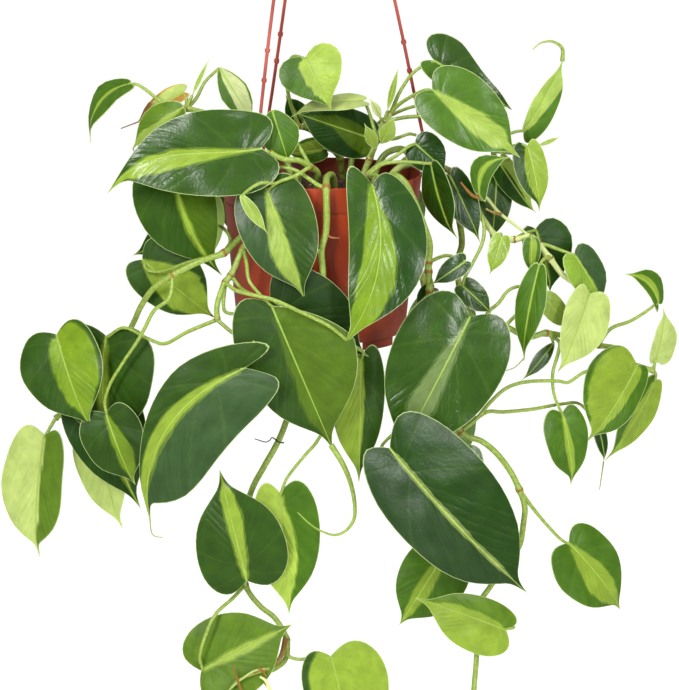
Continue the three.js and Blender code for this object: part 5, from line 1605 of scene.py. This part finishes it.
@dataclass
class Pot:
    """The thin round nursery pot with its banded rim, low feet and hanger lugs."""

    finishes: Finishes
    rim_radius: float = 75.0
    base_radius: float = 63.0
    height: float = 119.0
    wall: float = 1.4
    floor: float = 2.4
    lip: float = 0.7
    band: float = 18.0
    groove: float = 0.8
    band_edge: float = 2.6  # from the band down to the wall below it, over the groove
    shoulder: float = 0.25  # how far the wall is rounded off above and below the groove
    foot_height: float = 6.0
    foot_width: float = 4.9
    foot_inset: float = 0.4
    foot_bevel: float = 0.8
    foot_degrees: float = 13.2  # to either side of its middle
    foot_steps: int = 8
    feet: int = 8
    sides: int = 112
    lug_centre: float = 80.0
    lug_inward: float = 6.0
    lug_outward: float = 4.4
    lug_half_width: float = 5.0
    lug_hole: float = 2.1
    lug_thickness: float = 2.6
    lug_bevel: float = 0.4
    lug_squareness: float = 3.2  # 2 is a half circle, more is squarer
    lug_sides: int = 32
    lug_angles: tuple[float, ...] = (0.0, 232.0, 124.0)

    def radius(self, height: float) -> float:
        """The outer wall's radius at a height above the rim."""
        return lerp(self.rim_radius, self.base_radius, -height / self.height)

    def profile(self) -> list[tuple[float, float]]:
        """The wall's outline from the floor's underside, up outside, and down inside to the floor.

        Returns:
            Radius and height above the rim, in millimetres.
        """
        edge, base, low = self.rim_radius, self.base_radius, -self.band - self.band_edge
        points = [(0.0, -self.height), (base - 2.0, -self.height), (base - 0.6, -self.height + 0.5)]
        points += [(self.radius(height), float(height)) for height in (-117, *range(-105, -25, 10))]
        points += [(self.radius(low - 0.6), low - 0.6), (self.radius(low) - self.shoulder, low)]
        points.append((self.radius(low) - self.groove, low + 0.7))
        points.append((self.radius(-self.band) - self.groove, -self.band - 0.7))
        points.append((self.radius(-self.band) - self.shoulder, -self.band))
        points += [(self.radius(height), height) for height in (-self.band + 0.6, -self.band / 2)]
        points += [(edge, -self.lip), (edge - 0.2, -0.2), (edge - self.lip, 0.0)]
        points += [(edge - self.wall, -0.2), (edge - self.wall - 0.1, -1.0)]
        points += [(self.radius(height) - self.wall, height) for height in (-12.0, -40.0, -80.0)]
        inside = self.floor - self.height
        points += [(base - self.wall, inside + 1.0), (base - 3.0, inside), (0.0, inside)]
        return points

    def foot(self) -> Mesh:
        """One low foot: a short rounded arc under the rim of the base.

        Returns:
            The foot's mesh, in metres.
        """
        book = bmesh.new()
        outer = self.base_radius - self.foot_inset
        inner, bevel = outer - self.foot_width, self.foot_bevel
        top, low = -self.height + 0.5, -self.height - self.foot_height
        section = [(inner, top), (outer, top), (outer - 0.2, low + 0.6), (outer - bevel, low)]
        section += [(inner + bevel, low), (inner + 0.2, low + 0.6)]
        rings = []
        for step in range(self.foot_steps + 1):
            angle = math.radians(lerp(-self.foot_degrees, self.foot_degrees, step / self.foot_steps))
            rings.append([
                book.verts.new(Vector((r * math.cos(angle), r * math.sin(angle), z - RIM_DROP)) * MM)
                for r, z in section
            ])
        for here, there in zip(rings, rings[1:]):
            for index in range(len(section)):
                after = (index + 1) % len(section)
                book.faces.new((here[index], here[after], there[after], there[index]))
        book.faces.new(tuple(reversed(rings[0])))
        book.faces.new(tuple(rings[-1]))
        bmesh.ops.recalc_face_normals(book, faces=book.faces)
        return closed_book("foot", book)

    def feet_ring(self) -> Object:
        """The feet, set evenly round the base.

        Returns:
            The object of all the feet.
        """
        tree = Tree("ring_of_feet", Feet="NodeSocketInt", Finish="NodeSocketMaterial")
        points = tree.add(Step.POINTS, tree.start["Feet"])
        step = tree.add(Step.DIVIDE, 2 * math.pi, tree.start["Feet"])
        turn = tree.add(Step.VECTOR, 0.0, 0.0, tree.add(Step.MULTIPLY, tree.add(Step.INDEX), step))
        tree.close(tree.add(Step.COPIES, points, tree.start["Geometry"], turn))
        ring = tree.apply("feet", self.foot(), Feet=self.feet, Finish=self.finishes.pot)
        ring.data.set_sharp_from_angle(angle=CREASE)
        return ring

    def lug(self, angle: float) -> Object:
        """A flat tab with a round hole, level with the rim.

        Args:
            angle: where round the pot it stands, in degrees.

        Returns:
            The tab.
        """
        book = bmesh.new()
        centre = Vector((self.lug_centre, 0.0, 0.0))
        sides, power, bevel, deep = self.lug_sides, self.lug_squareness, self.lug_bevel, self.lug_thickness
        loops = []
        for down, inset in ((0.0, bevel), (bevel, 0.0), (deep - bevel, 0.0), (deep, bevel)):
            tab, bore = [], []
            for index in range(sides):
                around = 2 * math.pi * index / sides
                x, y = math.cos(around), math.sin(around)
                if x < 0:
                    scale = 1.0 / max(abs(x), abs(y))
                else:
                    scale = (1.0 / (abs(x) ** power + abs(y) ** power)) ** (1 / power)
                reach = (self.lug_outward if x > 0 else self.lug_inward) - inset
                width = self.lug_half_width - inset
                hole = self.lug_hole + inset * 0.5
                tab.append(book.verts.new(centre + Vector((x * scale * reach, y * scale * width, -down))))
                bore.append(book.verts.new(centre + Vector((x * hole, y * hole, -down))))
            loops.append((tab, bore))
        for index in range(sides):
            after = (index + 1) % sides
            for (tab, bore), (low_tab, low_bore) in zip(loops, loops[1:]):
                book.faces.new((tab[after], tab[index], low_tab[index], low_tab[after]))
                book.faces.new((bore[index], bore[after], low_bore[after], low_bore[index]))
            top, low = loops[0], loops[-1]
            book.faces.new((top[0][index], top[0][after], top[1][after], top[1][index]))
            book.faces.new((low[0][after], low[0][index], low[1][index], low[1][after]))
        bmesh.ops.recalc_face_normals(book, faces=book.faces)
        move = Matrix.Rotation(math.radians(angle), 4, "Z") @ Matrix.Translation((0, 0, -RIM_DROP))
        bmesh.ops.transform(book, matrix=Matrix.Scale(MM, 4) @ move, verts=book.verts)
        mesh = closed_book("lug", book)
        return as_piece("lug", mesh, self.finishes.pot)

    def dress(self) -> None:
        """Builds the pot and puts it in the frame."""
        shell = as_piece("shell", turned("shell", self.profile(), self.sides), self.finishes.pot)
        parts = [shell, self.feet_ring(), *(self.lug(angle) for angle in self.lug_angles)]
        settle(join("nursery_pot", parts), "pot")


@dataclass
class Soil:
    """The potting mix: an uneven top strewn with bark and perlite, over a plain plug."""

    finishes: Finishes
    depth: float = 13.0
    plug: float = 116.0
    top_radius: float = 71.4
    base_radius: float = 60.6
    rings: int = 40
    sides: int = 96
    lumps_per_mm: float = 0.07
    lump_height: float = 1.3
    crumbs_per_mm: float = 0.3
    crumb_height: float = 0.7
    bark_density: float = 42000.0  # to a square metre
    bark_length: float = 7.0
    bark_width: float = 1.4
    bark_seed: int = 5
    perlite_density: float = 1400.0
    perlite_length: float = 2.4
    perlite_width: float = 2.0
    perlite_seed: int = 11

    def height(self, right: float, back: float) -> float:
        """The top's unevenness at a place.

        Args:
            right: the place's distance to the right, in millimetres.
            back: its distance to the back, in millimetres.

        Returns:
            The height over the even top, in millimetres.
        """
        lumps = noise.noise(Vector((right * self.lumps_per_mm, back * self.lumps_per_mm, 2.0)))
        crumbs = noise.noise(Vector((right * self.crumbs_per_mm, back * self.crumbs_per_mm, 7.0)))
        return self.lump_height * lumps + self.crumb_height * crumbs

    def ground(self) -> Mesh:
        """The plug with its uneven top.

        Returns:
            The mesh, in metres.
        """
        shares = [(index / self.rings) ** 0.8 for index in range(self.rings, 0, -1)]
        profile = [(0.0, -self.plug), (self.base_radius, -self.plug)]
        profile += [(self.top_radius * share, -self.depth) for share in shares] + [(0.0, -self.depth)]
        mesh = turned("ground", profile, self.sides)
        for vertex in mesh.vertices:
            if vertex.co.z > (-RIM_DROP - self.depth - 0.01) * MM:
                vertex.co.z += self.height(vertex.co.x / MM, vertex.co.y / MM) * MM
        return mesh

    def strewing(self) -> Tree:
        """The tree that strews grains over the top of the mix.

        Returns:
            The tree, with the grains' number to a square metre and their size in metres.
        """
        tree = Tree(
            "strewn_grains", Density="NodeSocketFloat", Seed="NodeSocketInt", Length="NodeSocketFloat",
            Width="NodeSocketFloat", Finish="NodeSocketMaterial",
        )
        start = tree.start
        upward = tree.add(Step.OVER, tree.add(Step.VECTOR_Z, tree.add(Step.NORMAL)), 0.5)
        points = tree.add(Step.STREWN, start["Geometry"], upward, start["Density"], start["Seed"])
        # Each grain is a small ball pushed out of shape, then drawn out and laid at random
        wobble = tree.add(Step.NOISE_VECTOR, tree.add(Step.POSITION), 2.2, 2.0)
        push = tree.add(Step.VECTOR_LESS, wobble, (0.5, 0.5, 0.5))
        stone = tree.add(Step.MOVED, tree.add(Step.BALL, 0.5, 2), push)
        size = tree.add(Step.VECTOR, start["Length"], start["Width"], start["Width"])
        size = tree.add(Step.VECTOR_SCALED, size, tree.add(Step.RANDOM_NUMBER, 0.5, 1.35, start["Seed"]))
        turn = tree.add(Step.RANDOM_VECTOR, (-0.5, -0.5, 0.0), (0.5, 0.5, 6.28), start["Seed"])
        tree.close(tree.add(Step.COPIES, points, stone, turn, size))
        return tree

    def dress(self) -> None:
        """Builds the mix and its grains and puts them in the frame."""
        tree = self.strewing()
        bark = tree.apply(
            "bark", self.ground(), Density=self.bark_density, Seed=self.bark_seed,
            Length=self.bark_length * MM, Width=self.bark_width * MM, Finish=self.finishes.bark,
        )
        perlite = tree.apply(
            "perlite", self.ground(), Density=self.perlite_density, Seed=self.perlite_seed,
            Length=self.perlite_length * MM, Width=self.perlite_width * MM, Finish=self.finishes.perlite,
        )
        settle(join("soil_grains", [bark, perlite]), "soil")
        settle(as_piece("potting_mix", self.ground(), self.finishes.soil), "soil")


@dataclass
class Hanger:
    """The plastic hanger: a hook over a round hub, and three strands clipped into the pot's lugs."""

    finishes: Finishes
    tubes: Tree
    wire: float = 2.0
    bend: float = 10.0
    bend_turns: tuple[float, float] = (-0.18, 1.0)  # where the bend starts and ends, in half turns
    bend_steps: int = 9
    point_slimness: float = 0.92
    hub_height: float = -48.0
    hub_thickness: float = 5.0
    hub_radius: float = 9.0
    hole_circle: float = 5.6
    hub_rounding: float = 0.9
    hub_sides: int = 48
    strand_radius: float = 1.25
    strand_steps: int = 6
    lug_radius: float = 80.0
    clip_foot: float = 2.9  # the clip's upper edge, below the rim
    clip_height: float = 4.6
    nub_heights: tuple[float, float] = (-298.0, -277.0)
    nub_radius: float = 2.0
    nub_half_length: float = 1.4
    head_height: float = 2.6
    bows: tuple[float, ...] = (4.0, 7.0, -3.0)
    angles: tuple[float, ...] = (0.0, 232.0, 124.0)

    def hub(self) -> Object:
        """The hub: a disc with rounded edges.

        Returns:
            The hub.
        """
        half, edge, inset = self.hub_thickness / 2, self.hub_radius, self.hub_rounding
        profile = [(0.0, half), (edge - inset, half), (edge - 0.25, half - 0.25), (edge, half - inset)]
        profile = [(radius, -z) for radius, z in profile] + profile[::-1]
        middle = self.hub_height + RIM_DROP
        mesh = turned("hub", [(radius, z + middle) for radius, z in profile], self.hub_sides)
        return as_piece("hub", mesh, self.finishes.hanger)

    def hook_path(self) -> Path:
        """The hook's round wire, from inside the hub over the bend to its point.

        Returns:
            The path.
        """
        reach = self.bend + self.wire
        points = [Vector((0, 0, self.hub_height + 0.5)), Vector((0, 0, -30.0)), Vector((1.5, 0, -20.0))]
        for step in range(self.bend_steps + 1):
            angle = lerp(*self.bend_turns, step / self.bend_steps) * math.pi
            points.append(Vector((reach * math.cos(angle), 0, -self.bend + reach * math.sin(angle))))
        points.append(Vector((-reach - 2.5, 0, -self.bend - 7.0)))
        return Path(points, self.wire, self.wire * self.point_slimness, spacing=1.2)

    def strand_paths(self, angle: float, bow: float) -> list[Path]:
        """One strand: its thin bowed rod, the nubs on it, its head and its clip.

        Args:
            angle: where round the pot it stands, in degrees.
            bow: how far its middle stands out, in millimetres.

        Returns:
            The paths, with the rod as the first.
        """
        radians = math.radians(angle)

        def at(radius: float, height: float) -> Vector:
            """A point on the strand's own upright plane."""
            return Vector((radius * math.cos(radians), radius * math.sin(radians), height))

        foot = -RIM_DROP - self.clip_foot
        low, high = 5.0 - RIM_DROP, self.hub_height - self.hub_thickness / 2 - 5.0
        head = self.hub_height + self.hub_thickness / 2 + 0.3
        points = [at(self.lug_radius, foot - 1.0), at(self.lug_radius, low)]
        for step in range(1, self.strand_steps):
            share = step / self.strand_steps
            radius = lerp(self.lug_radius, self.hole_circle, share) + bow * math.sin(math.pi * share)
            points.append(at(radius, lerp(low, high, share)))
        points += [at(self.hole_circle, high), at(self.hole_circle, head + 1.0)]
        paths = [Path(points, self.strand_radius, self.strand_radius)]
        run = curve_through(points, 1.0)
        for height in self.nub_heights:
            index = min(range(1, len(run) - 1), key=lambda k: abs(run[k].z - height))
            along = (run[index + 1] - run[index - 1]).normalized() * self.nub_half_length
            nub = [run[index] - along, run[index] + along]
            paths.append(Path(nub, self.nub_radius, self.nub_radius, spacing=0.7))
        clip = [at(self.lug_radius, foot - self.clip_height), at(self.lug_radius, foot)]
        paths.append(Path(clip, 1.7, 2.6, spacing=1.0))
        top = [at(self.hole_circle, head), at(self.hole_circle, head + self.head_height)]
        paths.append(Path(top, 2.6, 1.9, spacing=0.7))
        return paths

    def dress(self) -> None:
        """Builds the hook, the hub and the strands and puts them in the frame."""
        wire = path_mesh("wire", [self.hook_path()])
        hook = self.tubes.apply("hook", wire, Sides=24, Finish=self.finishes.hanger)
        hook.data.set_sharp_from_angle(angle=WIRE_CREASE)
        settle(join("hook_and_hub", [hook, self.hub()]), "hanger_hook")
        for index, (angle, bow) in enumerate(zip(self.angles, self.bows, strict=True), start=1):
            lines = path_mesh("strand", self.strand_paths(angle, bow))
            strand = self.tubes.apply(f"strand_{index}", lines, Sides=14, Finish=self.finishes.hanger)
            strand.data.set_sharp_from_angle(angle=WIRE_CREASE)
            settle(strand, f"hanger_strand_{index}")


@dataclass
class Studio:
    """The plain pale floor, the soft light and the camera."""

    floor_height: float = -1.7
    floor_radius: float = 60.0
    wash_strength: float = 2.5
    sky_strength: float = 0.3
    aim_height: float = -0.5
    sensor_height: float = 36.0
    reach: float = 200.0

    def floor(self) -> None:
        """A wide matte floor well below the pot."""
        finish = Shade("matte_white_floor").close(linear("FAFAF8"), 0.9)
        book = bmesh.new()
        bmesh.ops.create_circle(book, cap_ends=True, radius=self.floor_radius, segments=64)
        bmesh.ops.translate(book, vec=(0, 0, self.floor_height), verts=book.verts)
        mesh = closed_book("floor", book)
        mesh.materials.append(finish)
        floor = placed("floor", mesh)
        floor.visible_glossy = False
        self.wash(floor)

    def wash(self, floor: Object) -> None:
        """A lamp that lights the floor alone, as a backdrop has its own lamps.

        Args:
            floor: the floor.
        """
        lit = bpy.data.collections.new("washed")
        lit.objects.link(floor)
        light = bpy.data.lights.new("floor_wash", "SUN")
        light.energy = self.wash_strength
        lamp = placed("floor_wash", light)
        lamp.light_linking.receiver_collection = lit

    def lamp(self, name: str, place: Vector, width: float, height: float, power: float) -> None:
        """A soft box aimed at the middle of the plant.

        Args:
            name: the lamp's name.
            place: where it stands, in metres.
            width: its width, in metres.
            height: its height, in metres.
            power: its power, in watts.
        """
        light = bpy.data.lights.new(name, "AREA")
        light.shape = "RECTANGLE"
        light.size = width
        light.size_y = height
        light.energy = power
        lamp = placed(name, light)
        aim = Vector((0, 0, self.aim_height)) - place
        lamp.matrix_world = Matrix.Translation(place) @ aim.to_track_quat("-Z", "Y").to_matrix().to_4x4()

    def sky(self) -> None:
        """Even white light from all round."""
        world = bpy.data.worlds.new("soft_white")
        world.use_nodes = True
        back = world.node_tree.nodes["Background"]
        back.inputs[0].default_value = linear("FFFFFF")
        back.inputs[1].default_value = self.sky_strength
        bpy.context.scene.world = world
        bpy.context.scene.view_settings.view_transform = "Standard"

    def camera(self) -> None:
        """The camera, at the angle and distance from which the plant was seen."""
        data = bpy.data.cameras.new("front")
        data.sensor_fit = "VERTICAL"
        data.sensor_height = self.sensor_height
        data.lens = self.sensor_height * Sight.distance / Sight.picture_height
        data.clip_end = self.reach
        camera = placed("front", data)
        axes = Matrix((Sight.right, Sight.up, Sight.toward)).transposed().to_4x4()
        camera.matrix_world = Matrix.Translation(Sight.eye * MM) @ axes
        bpy.context.scene.camera = camera

    def dress(self) -> None:
        """Sets up the floor, the light and the camera."""
        self.floor()
        self.sky()
        self.lamp("key", Vector((-1.15, -2.2, 0.75)), 0.5, 1.0, 54.0)
        self.lamp("fill", Vector((1.35, -2.1, 0.3)), 0.3, 1.0, 32.0)
        self.lamp("top", Vector((0.2, -0.6, 1.7)), 1.4, 0.9, 28.0)
        self.camera()


def main() -> None:
    """Loads the frame and dresses it, piece by piece."""
    logging.basicConfig(level=logging.INFO, format="%(name)s: %(message)s")
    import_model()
    finishes = Finishes()
    tubes = tube_tree()
    Studio().dress()
    Pot(finishes).dress()
    Soil(finishes).dress()
    Hanger(finishes, tubes).dress()
    foliage = Foliage(finishes, tubes)
    for vine in VINES:
        foliage.dress(vine)


if __name__ == "__main__":
    main()
